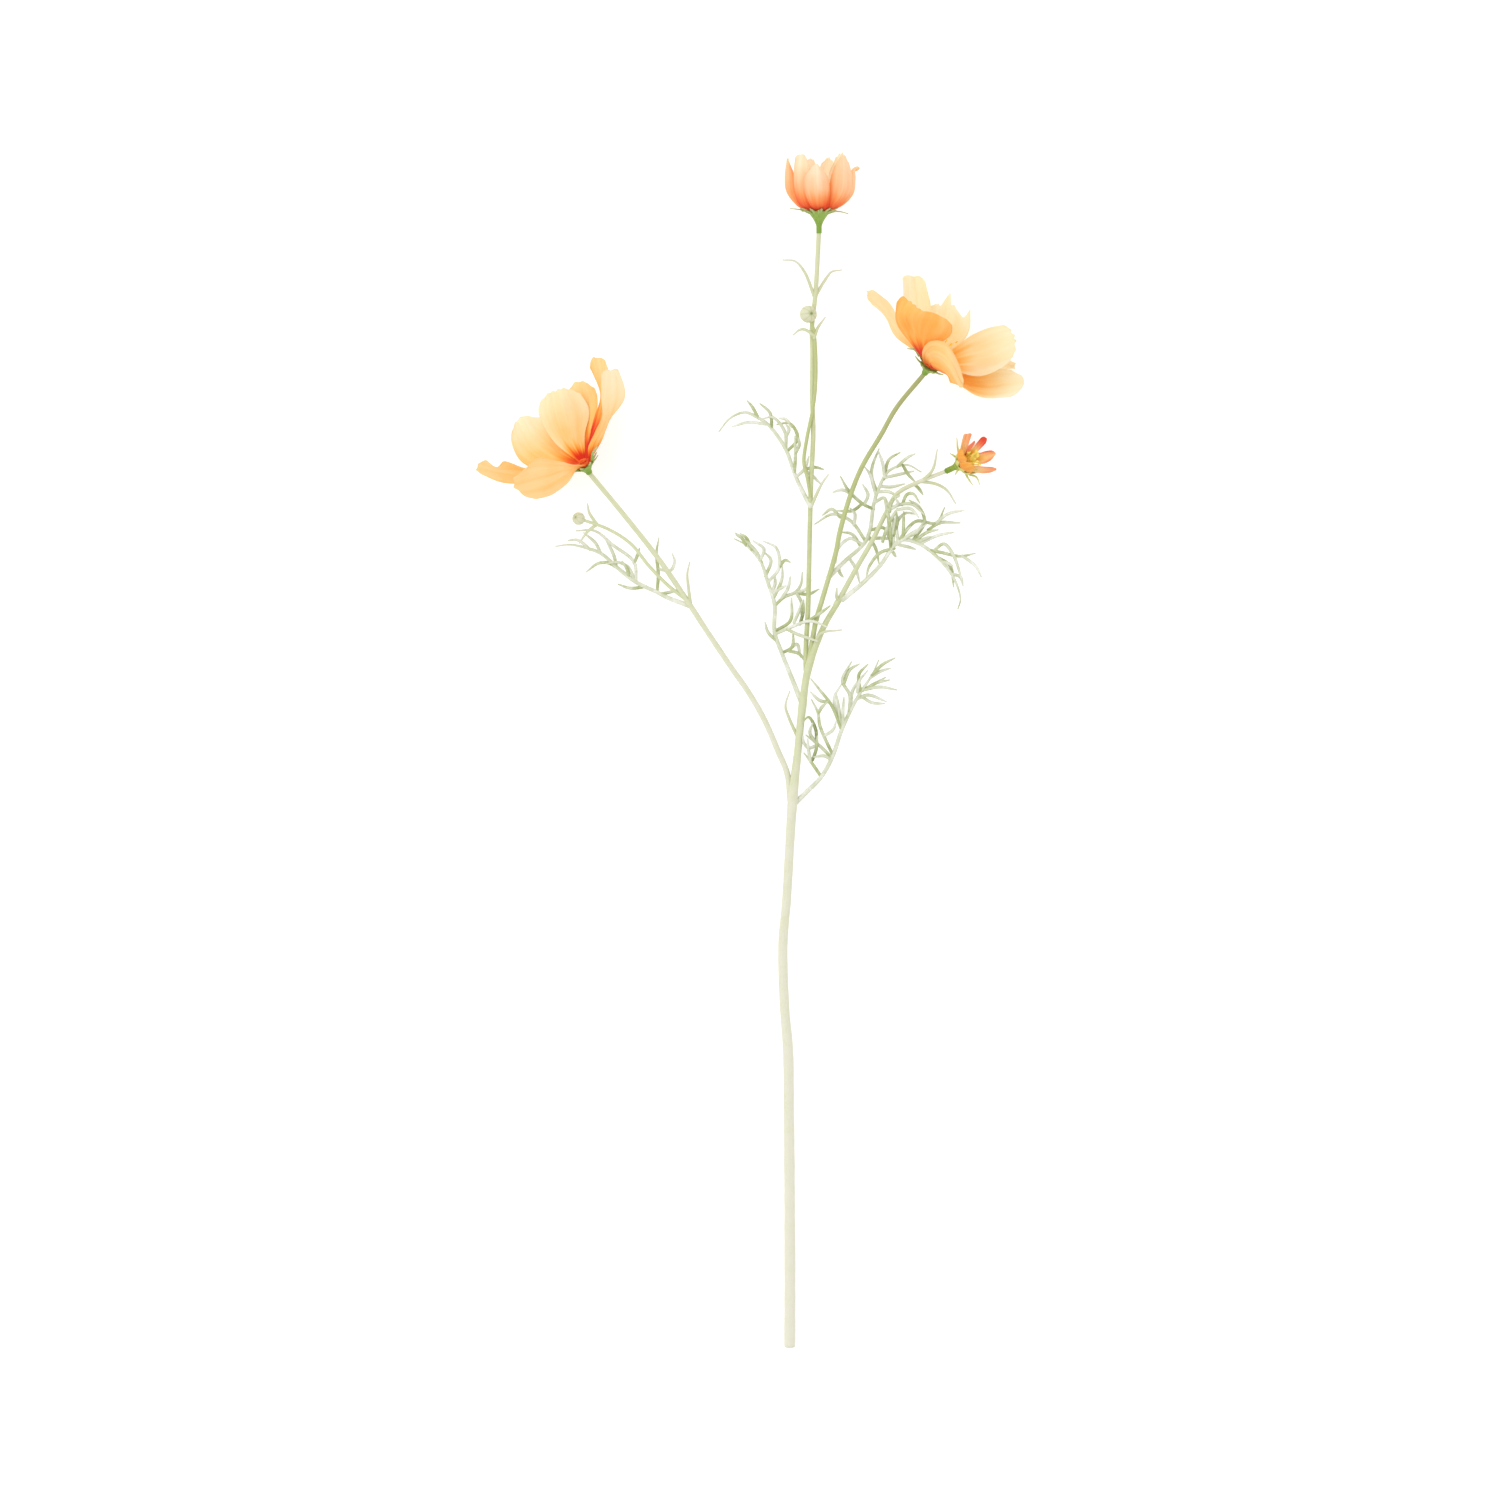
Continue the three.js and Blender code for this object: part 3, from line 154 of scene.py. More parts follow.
# Discs: the dome as shares of the florets' radius and height, then steps, sides and radii of a
# floret, a stamen's thread and its anther, and where their places lie
DOME_RINGS, DOME_SIDES = 12, 32
DOME_RADIUS, DOME_HEIGHT = 0.92, 0.85
FLORET_STEPS, FLORET_SIDES, FLORET_RADII = 5, 7, [0.22, 0.34, 0.3]
FLORET_SPREAD, FLORET_FOOT, FLORET_THROAT, FLORET_MOUTH = 0.98, 0.7, 0.95, (1.12, 0.08, 3.7)
STAMEN_HEIGHT, STAMEN_REACH = (0.78, 0.22, 5.3), (0.75, 0.35, 2.9)
STAMEN_TURN, STAMEN_START = 1.01, 0.4
THREAD_STEPS, THREAD_SIDES, THREAD_RADII, THREAD_TONE = 8, 6, [0.2, 0.16], (0.06, 0.06)
ANTHER_STEPS, ANTHER_SIDES, ANTHER_RADII = 6, 8, [0.26, 0.42, 0.24]
ANTHER_PLACES = [-0.2, 0.5, 1.3]

# Round ends of rods, turned parts and their closed ends, and how finely lines are measured
DOME_BENDS, DOME_TIP = [30, 58, 80, 90], 0.02
TURNED_SIDES = 48
POLE_RADIUS = 0.05
NEARLY_UPRIGHT = 0.9
LAYOUT_LENGTH = 100
LENGTH_STEPS = 240
SMALLEST = 1e-12

# Finishes: grains to the metre and their depth in metres, depth of the streaks and how far they are
# drawn out, patches to the metre and how much stronger they are than the streaks, shine and sheen
STEM_GRAIN = (2600, 0.00006)
LEAF_GRAIN = (3000, 0.00005)
CALYX_GRAIN = (2600, 0.00005)
FLORET_GRAIN = (4000, 0.00005)
CLOTH_GRAIN = (2200, 0.00003)
STREAK_DEPTH = 0.00012
VEIN_STRETCH = 1.1
BROAD_SHARE, BROAD_STRETCH, BROAD_GAIN = 0.3, 0.8, 1.5
CLOTH_PATCHES, CLOTH_PATCH_GAIN = 70, 1.4
SKIN_STRETCH = 14
SKIN_PATCHES, SKIN_PATCH_GAIN, SKIN_SPECKS = 160, 1.6, 900
CLOTH_ROUGHNESS, CLOTH_SHINE, CLOTH_SHEEN, SHEEN_SPREAD = 0.72, 0.22, 0.12, 0.5
SKIN_SHINE = 0.25

# Picture, table and light, with the places and sizes of the table and lamp in metres and the way
# that the lamp leans in degrees
PICTURE_WIDTH = 1500
PICTURE_MIDDLE = (750, 750)
LENS = 400
SENSOR = 36
SIGHT_HEIGHT = 25
FARTHEST = 60
TABLE_REACH, TABLE_DROP = 4, 0.0002
TABLE_STOPS = [(0.0, (214, 214, 214)), (1.0, (218, 218, 218))]
TABLE_GLOW = 0.65
ROOM_LIGHT = 1
LAMP_SIZE, LAMP_POWER = 2.4, 16
LAMP_PLACE = (-1.1, 1.1, 2.0)
LAMP_LEAN = -28

# The main stem: x, y and width in picture units
MAIN_STEM = [
    (789.8, 1349.5, 11), (790, 1280, 11), (789, 1110, 10.4), (788.1, 1051, 10), (784.6, 1007, 9.6),
    (783, 945, 9.3), (786.6, 900, 9), (792.7, 800, 9.5), (797.9, 751, 7.7), (802, 710, 7.5),
    (807, 674, 7.3), (813.5, 652, 6.6), (825.2, 624, 5.8), (838.6, 601.5, 5.2),
]
MAIN_HEIGHTS = dict(foot=2.75, end=24, ease=1.35)
# Knuckles on it: picture row, reach up and down in picture units, and share of added width
KNUCKLES = [(797, 16, 0.07), (706, 10, 0.1), (664, 9, 0.12), (945, 22, 0.03), (1051, 20, 0.04)]
# Slight waves in its width: depth, pace and start
STEM_WAVES = [(0.012, 0.19, 0), (0.01, 0.071, 1)]
# How green it is from row to row
MAIN_GREEN = [(600, 0.45), (660, 0.42), (740, 0.25), (800, 0.12), (1349, 0.04)]

# Side branches: route, width at both ends in picture units, height at both ends, and how green
# the skin is at both ends, from 0 pale to 1 olive
LEFT_BRANCH = dict(
    route=[
        (791, 803), (787.2, 773.5), (778, 751), (764.5, 720), (748.4, 692), (732.3, 669),
        (702.9, 625), (687.4, 601), (658.7, 559), (624, 515), (590.3, 474.4),
    ],
    width=(6, 4.8),
    height=(14.8, 34),
    green=(0.1, 0.3),
)
CENTRE_STEM = dict(
    route=[
        (806.5, 676), (805.9, 650), (808, 611), (809.2, 560), (810.9, 487), (813.3, 431),
        (812, 395), (812.4, 350), (811.8, 330), (815.6, 292), (818.8, 234),
    ],
    width=(4.8, 4.6),
    height=(19.5, 27),
    green=(0.5, 0.28),
)
RIGHT_STEM = dict(
    route=[
        (809.4, 662), (812, 643), (816, 621), (823.6, 595), (836, 552), (839.6, 533), (850, 496.6),
        (862, 467), (881, 435), (896.5, 408), (923.6, 375),
    ],
    width=(5, 4.6),
    height=(20.5, 38),
    green=(0.5, 0.95),
)
DAISY_STEM = dict(
    route=[
        (836, 605), (843.4, 592), (856, 569), (871.8, 541.5), (885, 515), (897, 494), (919, 482),
        (945.8, 471.5),
    ],
    width=(5.2, 4),
    height=(23.6, 32),
    green=(0.35, 0.1),
)
CENTRE_BUD_STALK = dict(
    route=[
        (810.6, 496), (807.4, 478), (803.9, 462), (807, 438), (813, 408), (815.4, 387),
        (815.8, 357), (813.5, 330), (809, 316),
    ],
    width=(3.6, 3.4),
    height=(23.2, 29),
    green=(0.55, 0.6),
)
LEFT_BUD_STALK = dict(
    route=[
        (684, 598), (668.6, 586), (649, 566), (631, 544), (609, 529.6), (580, 519),
    ],
    width=(3.6, 3),
    height=(26.4, 30),
    green=(0.35, 0.3),
)
BRANCHES = [LEFT_BRANCH, CENTRE_STEM, RIGHT_STEM, DAISY_STEM]
BUD_STALKS = [CENTRE_BUD_STALK, LEFT_BUD_STALK]

# Thread-like stem leaves: heights at both ends, then the route
STEM_TWIGS = [
    dict(height=(26, 33), route=[(814.4, 297), (804.4, 272), (795, 261.6), (782.6, 260.4)]),
    dict(height=(26, 21), route=[(815.6, 296), (825, 280), (831.8, 271.6), (841.6, 269.8)]),
    dict(height=(29, 31), route=[(814.2, 336), (805.3, 330), (800.3, 329.8), (792.8, 335.4)]),
    dict(height=(29, 26), route=[(814.2, 338), (817.5, 328.4), (820.7, 323.5), (825.4, 317.2)]),
    dict(height=(23, 27), route=[(811, 507), (816.8, 493.7), (821.4, 484.5), (828.3, 474.6)]),
    dict(height=(25, 36), route=[(691, 607), (688.4, 587), (687.4, 574), (689.9, 562)]),
    dict(height=(29.4, 33), route=[(597, 524.6), (589.5, 513), (587.6, 504)]),
    dict(height=(29.4, 25), route=[(597, 524.6), (587.6, 531.6), (579.2, 543.4)]),
    dict(height=(16.5, 26), route=[(798, 738), (788.7, 717), (785.5, 706), (789.7, 691)]),
    dict(height=(30.6, 38), route=[(921, 482), (932.4, 470), (937, 450)]),
    dict(height=(30.6, 27), route=[(921, 481.6), (937, 484.5), (947, 490.6), (955.4, 503.3)]),
    dict(height=(24.4, 31), route=[(839, 600), (836.7, 597.6), (836.8, 588)]),
    dict(height=(21.6, 29), route=[(812, 655), (820, 634), (841.5, 630)]),
]

# Round buds, with the way that the dimple at the tip looks
CENTRE_BUD = dict(centre=(808.3, 314.4), height=29, radius=4.6, tip=(0.42, 0.08, 0.9))
LEFT_BUD = dict(centre=(578.7, 518.7), height=30, radius=3.4, tip=(-0.55, 0.25, 0.8))


def strand(lift, *route, wide=LEAFLET_WIDTH, deep=0):
    """A strand of a feathery leaf: how far its tip rises, its route, and how much greener it is."""
    return dict(lift=lift, route=route, wide=wide, deep=deep)


def rib(wide, *route):
    """The midrib of a feathery leaf: its width in picture units and its route."""
    return strand(0, *route, wide=wide)


def frond(heights, *strands):
    """A feathery leaf: height by distance from the root, then the rib and the other strands."""
    return dict(heights=heights, strands=strands)


LEFT_FROND = frond(
    [(0, 24), (16, 17.5), (75, 12)],
    rib(
        3.8,
        (689, 605.5), (668.6, 598), (656.8, 592), (636, 582), (619, 569), (600.4, 553),
        (583.6, 547), (569.8, 544.4), (555.4, 546),
    ),
    strand(-3, (621, 570.5), (609, 563), (598.4, 563), (586, 571.6)),
    strand(4, (636, 582), (634, 562), (613, 545), (594.5, 530.6), (576, 530.6)),
    strand(3, (634, 563), (637, 556), (639.5, 548)),
    strand(2, (616, 565), (614, 556), (604, 535.5)),
    strand(4, (600.4, 553), (595.5, 543), (583.6, 532.6)),
    strand(-3, (657, 592), (658.2, 573), (656.3, 554), (658.7, 537.5)),
    strand(-4, (658, 569), (670.6, 570), (674.6, 561), (672, 553)),
    strand(-2, (660, 594), (670, 592), (681, 589)),
    strand(4, (629, 577.5), (627, 569), (622, 561)),
    strand(2, (590, 549.5), (578, 540), (568, 540)),
    strand(-2, (646, 586.5), (630, 588), (618, 584)),
    strand(3, (635, 582), (628, 567), (617, 562), (606, 563.6)),
)
UPPER_LEFT_FROND = frond(
    [(0, 23.4), (12, 17.5), (75, 15)],
    rib(
        3.6,
        (810.5, 506), (804, 494), (795.2, 475), (787, 451.5), (778.5, 437), (767.8, 424),
        (756.3, 416.4), (744.8, 412), (730, 418), (718.8, 431.4),
    ),
    strand(4, (758.6, 418), (751.7, 405.7), (747, 400.4)),
    strand(-4, (767.4, 424), (748, 422), (731.8, 426.4)),
    strand(5, (772, 429), (770, 412.6), (760, 403.4)),
    strand(4, (786, 449), (785, 432), (773, 417), (762.4, 418.7)),
    strand(3, (786.4, 436), (789, 429), (786, 424)),
    strand(-4, (787, 451.5), (797.7, 438), (790, 423), (777, 424)),
    strand(-3, (792, 426), (786, 419), (779.3, 417.6)),
    strand(5, (794.6, 473.5), (795.4, 455), (795, 436)),
    strand(3, (795.6, 453), (799.2, 445), (798.8, 438)),
    strand(-2, (796, 477), (804.5, 468.5), (809, 456)),
    strand(-2, (803.6, 469.6), (814.5, 467), (823.7, 469)),
    strand(-3, (803.6, 469.6), (813, 476), (821, 484)),
)
MIDDLE_LEFT_FROND = frond(
    [(0, 18.6), (14, 14), (90, 13)],
    rib(
        4,
        (803, 706), (791.8, 678), (781.7, 652.5), (774.6, 632), (774.6, 604.5), (768, 582.5),
        (761, 562), (750, 548.5), (744.7, 544), (734.3, 538.5),
    ),
    strand(3, (746, 545), (742, 538), (735, 532.7)),
    strand(5, (768, 582), (779, 568), (776.5, 548), (763.6, 541)),
    strand(2, (779, 568), (785, 560), (790.3, 562)),
    strand(-4, (765.6, 576), (771, 560), (764.5, 551.7)),
    strand(4, (760, 560.5), (764, 549), (753, 540.5)),
    strand(-3, (751.5, 549.5), (746.4, 537.5), (740, 533)),
    strand(-4, (772, 592), (775, 584), (774.8, 574)),
    strand(6, (773.6, 598), (781.7, 580), (782.5, 566)),
    strand(-2, (774.5, 606), (784, 597), (795.5, 592), (801, 584), (802.4, 572)),
    strand(-3, (795, 592.2), (806, 589), (811, 580)),
    strand(-4, (795, 592.2), (808, 594), (819, 589)),
    strand(5, (781, 599.2), (788, 588), (790.3, 576.7)),
    strand(-3, (796, 592), (801.5, 602.5), (801, 614.6)),
    strand(6, (774.8, 631), (790.3, 620.6), (791.6, 598)),
    strand(20, (775.2, 634), (793.7, 626), (810, 621), (827, 627)),
    strand(11, (808, 621), (817.6, 615), (830, 606)),
    strand(12, (786.8, 629), (797, 634), (818, 641.4)),
    strand(4, (794, 622.5), (799, 611), (802.4, 601)),
    strand(2, (781.7, 653), (792, 647), (793.3, 632.7)),
    strand(-2, (791, 648), (797, 644), (800.6, 657)),
    strand(4, (776.6, 641), (768, 632), (765, 622)),
    strand(1, (762, 563), (756, 551), (746, 541), (736, 535)),
    strand(2, (775, 591), (781, 588), (786, 585.6)),
    strand(3, (800, 624), (803, 613), (803.6, 600), deep=0.2),
    strand(-1, (789, 651), (799, 653.6), (806, 662), deep=0.2),
)
LOWER_RIGHT_FROND = frond(
    [(0, 14.4), (16, 19), (90, 25)],
    rib(
        4,
        (794.4, 804), (806.6, 792), (821.3, 777), (832.4, 757), (841.3, 731), (850.8, 710),
        (860.8, 692), (871.8, 675.3), (878.7, 660),
    ),
    strand(4, (871.8, 675.3), (882.3, 664.7), (895, 658)),
    strand(-3, (870, 678), (880, 671.6), (891, 668)),
    strand(-4, (861.4, 691), (872.9, 684.7), (885.5, 677.4)),
    strand(3, (863, 690), (880, 687), (897, 690)),
    strand(-5, (857, 699), (868, 695), (886.5, 701.6)),
    strand(5, (860.8, 692), (858.7, 675.3), (868, 664)),
    strand(-4, (851, 709.6), (853, 690), (867.6, 670.5)),
    strand(5, (849, 713), (849.7, 695), (842.3, 680.5), (851.3, 662)),
    strand(3, (844, 683.5), (849.7, 670), (859.2, 664)),
    strand(-4, (842, 729.4), (835.5, 709), (834.5, 697), (842.3, 683)),
    strand(4, (841.6, 730), (832, 706), (819, 689), (811, 679)),
    strand(6, (843, 726), (842.9, 712), (843.9, 697.4)),
    strand(3, (829.4, 702), (820, 700.5), (810.5, 692)),
    strand(4, (833, 755.5), (820, 726), (818, 713), (811.5, 699.5)),
    strand(-3, (824, 736), (832.9, 730), (836, 721.6)),
    strand(2, (818.4, 713), (822, 707), (826.5, 703)),
    strand(-4, (832, 758), (820, 746), (806, 735)),
    strand(4, (831, 759.6), (824.5, 756), (814, 757)),
    strand(-2, (821.3, 777), (816, 769), (810.8, 761.5), (804, 753)),
    strand(5, (810.8, 762), (808.7, 751), (807.6, 739)),
    strand(5, (816, 742.5), (810, 733), (812.6, 723)),
    strand(5, (816.6, 742), (815.6, 729), (808.6, 717), (803, 722), deep=0.3),
    strand(3, (817, 745), (809, 748), (804, 743), (803, 736)),
    strand(2, (812.6, 760), (816, 750), (817.6, 736), deep=0.2),
    strand(3, (840.6, 724), (838.6, 707), (836, 693)),
    strand(-3, (861, 696), (872, 702.6), (885, 703.6)),
    strand(2, (864.6, 689.6), (876, 683), (889.6, 680)),
    strand(3, (857.6, 692), (858.6, 684), (861.6, 676)),
)
RIGHT_FROND = frond(
    [(0, 25.2), (14, 20.5), (34, 20), (62, 26)],
    rib(
        3.6,
        (828, 578), (845, 561), (864.5, 543), (870, 530), (873.6, 505), (877.9, 490.6),
        (888.8, 471), (907, 465), (921, 472),
    ),
    strand(3, (877, 492), (871.8, 477), (872.4, 466), (879, 449)),
    strand(6, (884.5, 478), (882.7, 464), (878, 450.6)),
    strand(-3, (884, 479), (888.8, 460), (900, 452.4)),
    strand(5, (897, 467), (907, 458), (915, 454)),
    strand(-4, (885, 477.6), (894.8, 475.4), (914, 471)),
    strand(-4, (903, 465.5), (908, 474), (915.4, 482)),
    strand(5, (876, 495), (869.4, 473.6), (865, 467.6)),
    strand(-2, (866, 541.5), (851, 521), (833, 514), (814.8, 524)),
    strand(-2, (840, 517), (831.8, 509), (822.7, 515)),
    strand(4, (854, 525), (855, 514), (850, 508)),
    strand(11, (873.6, 509), (863, 504), (848.8, 491), (840.3, 476.7)),
    strand(2, (852, 494), (842, 490), (833, 492.4)),
    strand(3, (864, 504.6), (868, 495), (862.7, 484.5)),
    strand(-2, (862, 504), (852.4, 510.6), (837, 510.6)),
    strand(-2, (863, 544.6), (850, 538.4), (838, 549), (836, 563)),
    strand(-3, (861, 546.4), (852, 534), (842, 532)),
    strand(-4, (838.5, 567.5), (840, 573), (843.3, 577)),
    strand(-4, (849, 557.5), (856, 569), (859.7, 582.7)),
    strand(-3, (870, 530), (884, 528), (890, 541.5)),
    strand(3, (874, 503), (884, 498), (888, 512), (888.8, 524)),
    strand(1, (880, 486), (890, 487), (904.5, 484)),
    strand(-4, (868, 535), (876, 549), (879, 563)),
    strand(3, (877.4, 492), (888, 491.6), (899, 497)),
    strand(-1, (914, 484), (918.6, 488), (923, 494.6)),
    strand(3, (869, 539), (880, 538), (893, 539.4), deep=0.3),
)
ARCHING_FROND = frond(
    [(0, 24.4), (14, 30), (85, 33)],
    rib(
        3.8,
        (843, 599.4), (864.5, 581.5), (880, 565.7), (899.7, 540.6), (916.6, 542.7), (937, 557),
        (954, 579), (960.3, 599.6), (957.8, 608.7),
    ),
    strand(3, (928, 550), (941, 552.6), (960, 556.4), (974.8, 553.6)),
    strand(3, (962, 556), (975, 566), (981, 577)),
    strand(-4, (937, 557), (950, 566), (953.6, 587)),
    strand(5, (934, 550.6), (943.8, 544), (953, 555), (962.4, 583)),
    strand(-3, (951, 574), (960, 577), (963, 586)),
    strand(-2, (898, 542), (915.6, 521.6), (936, 523), (944.6, 507.6)),
    strand(3, (936, 523), (948, 514), (964, 510.6)),
    strand(-3, (928, 530), (940, 523), (960, 523)),
    strand(4, (914, 542), (926, 533), (938, 530)),
    strand(7, (920, 544), (936.6, 536), (953.6, 532.6)),
    strand(6, (912, 541.6), (924.4, 522), (918, 506), (909, 500.6)),
    strand(2, (898, 543), (897, 523), (905, 513.6), (917, 514.6)),
    strand(-5, (899, 545), (908, 547), (915.6, 549.4)),
    strand(4, (894, 548.6), (880, 553), (869.4, 566), (866, 578)),
    strand(-3, (892, 551), (893.6, 532), (893, 514)),
    strand(3, (891, 548), (889.4, 526), (887.4, 512), (883.6, 497.6), wide=4, deep=0.12),
    strand(4, (888.4, 510), (899, 505), (912, 504.6), (924, 515)),
    strand(3, (896, 545), (907, 536.6), (926, 524.6)),
    strand(2, (903, 538), (903.4, 525), (903.6, 512)),
    strand(4, (889, 524), (893, 516), (897.5, 508.6), deep=0.3),
    strand(4, (892, 538), (894, 525), (895.6, 517)),
    strand(4, (882.6, 541.6), (885, 533), (887.6, 526)),
    strand(5, (892, 508.6), (898, 504), (895, 498.4)),
    strand(5, (902, 505), (906.6, 495), (912.6, 494), (919.6, 503.4)),
    strand(3, (916.6, 542), (922.4, 540), (930, 536.6)),
    strand(3, (941.6, 562), (947, 563), (952.6, 566)),
    strand(-2, (892, 551), (894, 554), (896, 557)),
    strand(4, (897, 510), (910, 509), (918.6, 518)),
    strand(5, (889.6, 512), (892, 501), (899.6, 495.6)),
    strand(4, (893, 536), (897, 524), (896, 511), deep=0.4),
    strand(3, (906, 538), (917, 532), (922.6, 523), deep=0.3),
    strand(3, (899, 541), (905, 532), (911, 526.6)),
)
FRONDS = dict(
    left_frond=LEFT_FROND,
    upper_left_frond=UPPER_LEFT_FROND,
    middle_left_frond=MIDDLE_LEFT_FROND,
    lower_right_frond=LOWER_RIGHT_FROND,
    right_frond=RIGHT_FROND,
    arching_frond=ARCHING_FROND,
)

# Flower heads: neck place and height, the way they look, and where the petals' throat is
LEFT_HEAD = dict(neck=(590.3, 474.4), height=34, angle=121, tilt=14, throat=6.6)
RIGHT_HEAD = dict(neck=(923.6, 375), height=38, angle=57, tilt=24, throat=7.4)
TOP_HEAD = dict(neck=(819, 234), height=27, angle=90, tilt=3, throat=12.4)
DAISY_HEAD = dict(neck=(945.8, 471.5), height=32, angle=25, tilt=38, throat=14.6)


def look(body, tip, blush, reach, left=0, right=0, teeth=(0.012, 3), line=None):
    """A petal's colours, from 0 cream through apricot and orange to 1 deep red, and its tip.

    Body and tip are the tones along the blade, blush is added at the base as far as reach, left and
    right are added at the side edges: partly the cloth's own deeper or paler margins and partly
    painted shade in the creases where petals meet or tuck under each other. Teeth are the depth, as a
    share of the length, and the number of small teeth at the tip; a line gives the tip's cuts from
    place to place across it instead.
    """
    return dict(
        body=body, tip=tip, blush=blush, reach=reach, left=left, right=right, teeth=teeth, line=line
    )


# Cut petal tips: place across the tip, from -1 to 1, and the share of the length that is cut off
TORN_TIP = [
    (-1, -0.02), (-0.85, 0.08), (-0.75, 0.11), (-0.62, 0.15), (-0.52, 0.16), (-0.42, 0.21),
    (-0.34, 0.2), (-0.2, 0.1), (0, 0), (0.08, 0.08), (0.14, 0.2), (0.28, 0.17),
    (0.36, 0.21), (0.5, 0.23), (0.7, 0.25), (0.82, 0.15), (1, -0.05),
]
ROUND_TIP = [(-1, -0.05), (-0.6, -0.01), (0, 0.015), (0.6, -0.01), (1, -0.05)]
NOTCHED_TIP = [(-1, 0.02), (-0.6, 0), (-0.2, 0.035), (0.3, 0.02), (1, 0)]
FLAT_TIP = [(-1, -0.05), (-0.6, -0.005), (-0.2, 0.03), (0, 0.02), (0.5, 0), (1, -0.04)]
CUT_TIP = [
    (-1, -0.04), (-0.8, 0.0), (-0.66, 0.0), (-0.56, 0.045), (-0.36, 0.02), (-0.26, 0.06),
    (0, 0.025), (0.1, 0.06), (0.4, 0.03), (0.5, 0.055), (0.8, 0.02), (1, 0.0),
]
SAWN_TIP = [
    (-1, 0.06), (-0.92, -0.01), (-0.82, -0.03), (-0.6, 0.03), (-0.52, 0.0), (-0.4, 0.05),
    (-0.3, 0.02), (-0.16, 0.07), (-0.06, 0.045), (0.08, 0.075), (0.16, 0.05), (0.5, 0.03),
    (0.85, 0.01), (1, 0.07),
]


def petal(left, middle, right, petal_look, claw=None):
    """A petal: three rails of places, x, y and height, from the throat outwards, then its look.

    The claw is half the petal's width at the throat, where it is more than its flower's usual one.
    """
    return dict(rails=(left, middle, right), look=petal_look, claw=claw)


LEFT_PETALS = dict(
    right_front=petal(
        [(588.5, 448, 41), (596, 434, 48), (602.5, 419, 54), (601.5, 398, 60), (603, 373, 63)],
        [(600, 440, 44), (608, 420, 48), (611, 398, 54), (611, 370, 55)],
        [(602, 440, 41), (610.5, 421, 43), (624.5, 397, 44), (619.5, 370, 46)],
        look(0.48, 0.1, 0.44, 0.34, left=0.14, right=0.12, line=ROUND_TIP),
        claw=3.2,
    ),
    right_back=petal(
        [(588, 441, 27), (595, 418, 22), (600, 397, 18), (593, 375, 16), (588.5, 361, 15)],
        [(592, 440, 30), (600, 418, 28), (604, 392, 25), (600, 372, 24), (597.5, 355, 24)],
        [(596, 440, 34), (605, 418, 34), (608.5, 394, 33), (609, 380, 33), (610.5, 366, 33)],
        look(0.6, 0.42, 0.5, 0.66, left=0.18, line=NOTCHED_TIP),
    ),
    back_right=petal(
        [(574, 440, 17), (563, 412, 6.4), (566, 389, 2)],
        [(584, 433, 20), (581, 406, 9), (579, 380, 3.4)],
        [(590, 436, 27), (596, 412, 20), (597.5, 396, 17), (591, 384.5, 15)],
        look(0.52, 0.38, 0.5, 0.45, right=0.12, teeth=(0.01, 4)),
    ),
    back=petal(
        [(556, 444, 21), (541, 421, 10), (538, 408, 7), (542, 396, 5.6)],
        [(570, 437, 21), (563, 411, 10), (557, 388, 4.4)],
        [(585, 437, 24), (589, 410, 16), (577, 388, 10)],
        look(0.48, 0.2, 0.56, 0.3, left=-0.24, teeth=(0.02, 6)),
    ),
    back_left=petal(
        [(547, 469, 27), (521, 461, 15), (510.5, 441, 10), (512, 427, 8)],
        [(555, 455, 19), (536, 440, 8), (521, 415.5, 1)],
        [(567, 447, 17), (557, 427, 6), (542, 415.5, 0.4)],
        look(0.54, 0.1, 0.4, 0.4, left=0.08, teeth=(0.015, 4)),
    ),
    far_left=petal(
        [(548, 468, 38), (522, 469, 40), (504, 461.5, 41), (497, 467, 40), (485, 460.5, 42)],
        [(550, 475, 33), (511, 474, 32), (476, 467, 30)],
        [(550, 481, 28), (506, 482, 23), (479, 474, 21)],
        look(0.6, 0.42, 0.2, 0.3, line=ROUND_TIP),
    ),
    front=petal(
        [(575, 465.5, 48), (558, 462, 58), (537, 460.5, 72), (520, 475, 75)],
        [(567, 470, 52), (542, 479, 65), (514, 487, 66)],
        [(573, 477, 48), (565, 487, 53), (553, 496, 56), (528, 500, 57)],
        look(0.45, 0.42, 0.2, 0.4, teeth=(0.02, 3)),
        claw=3.2,
    ),
)
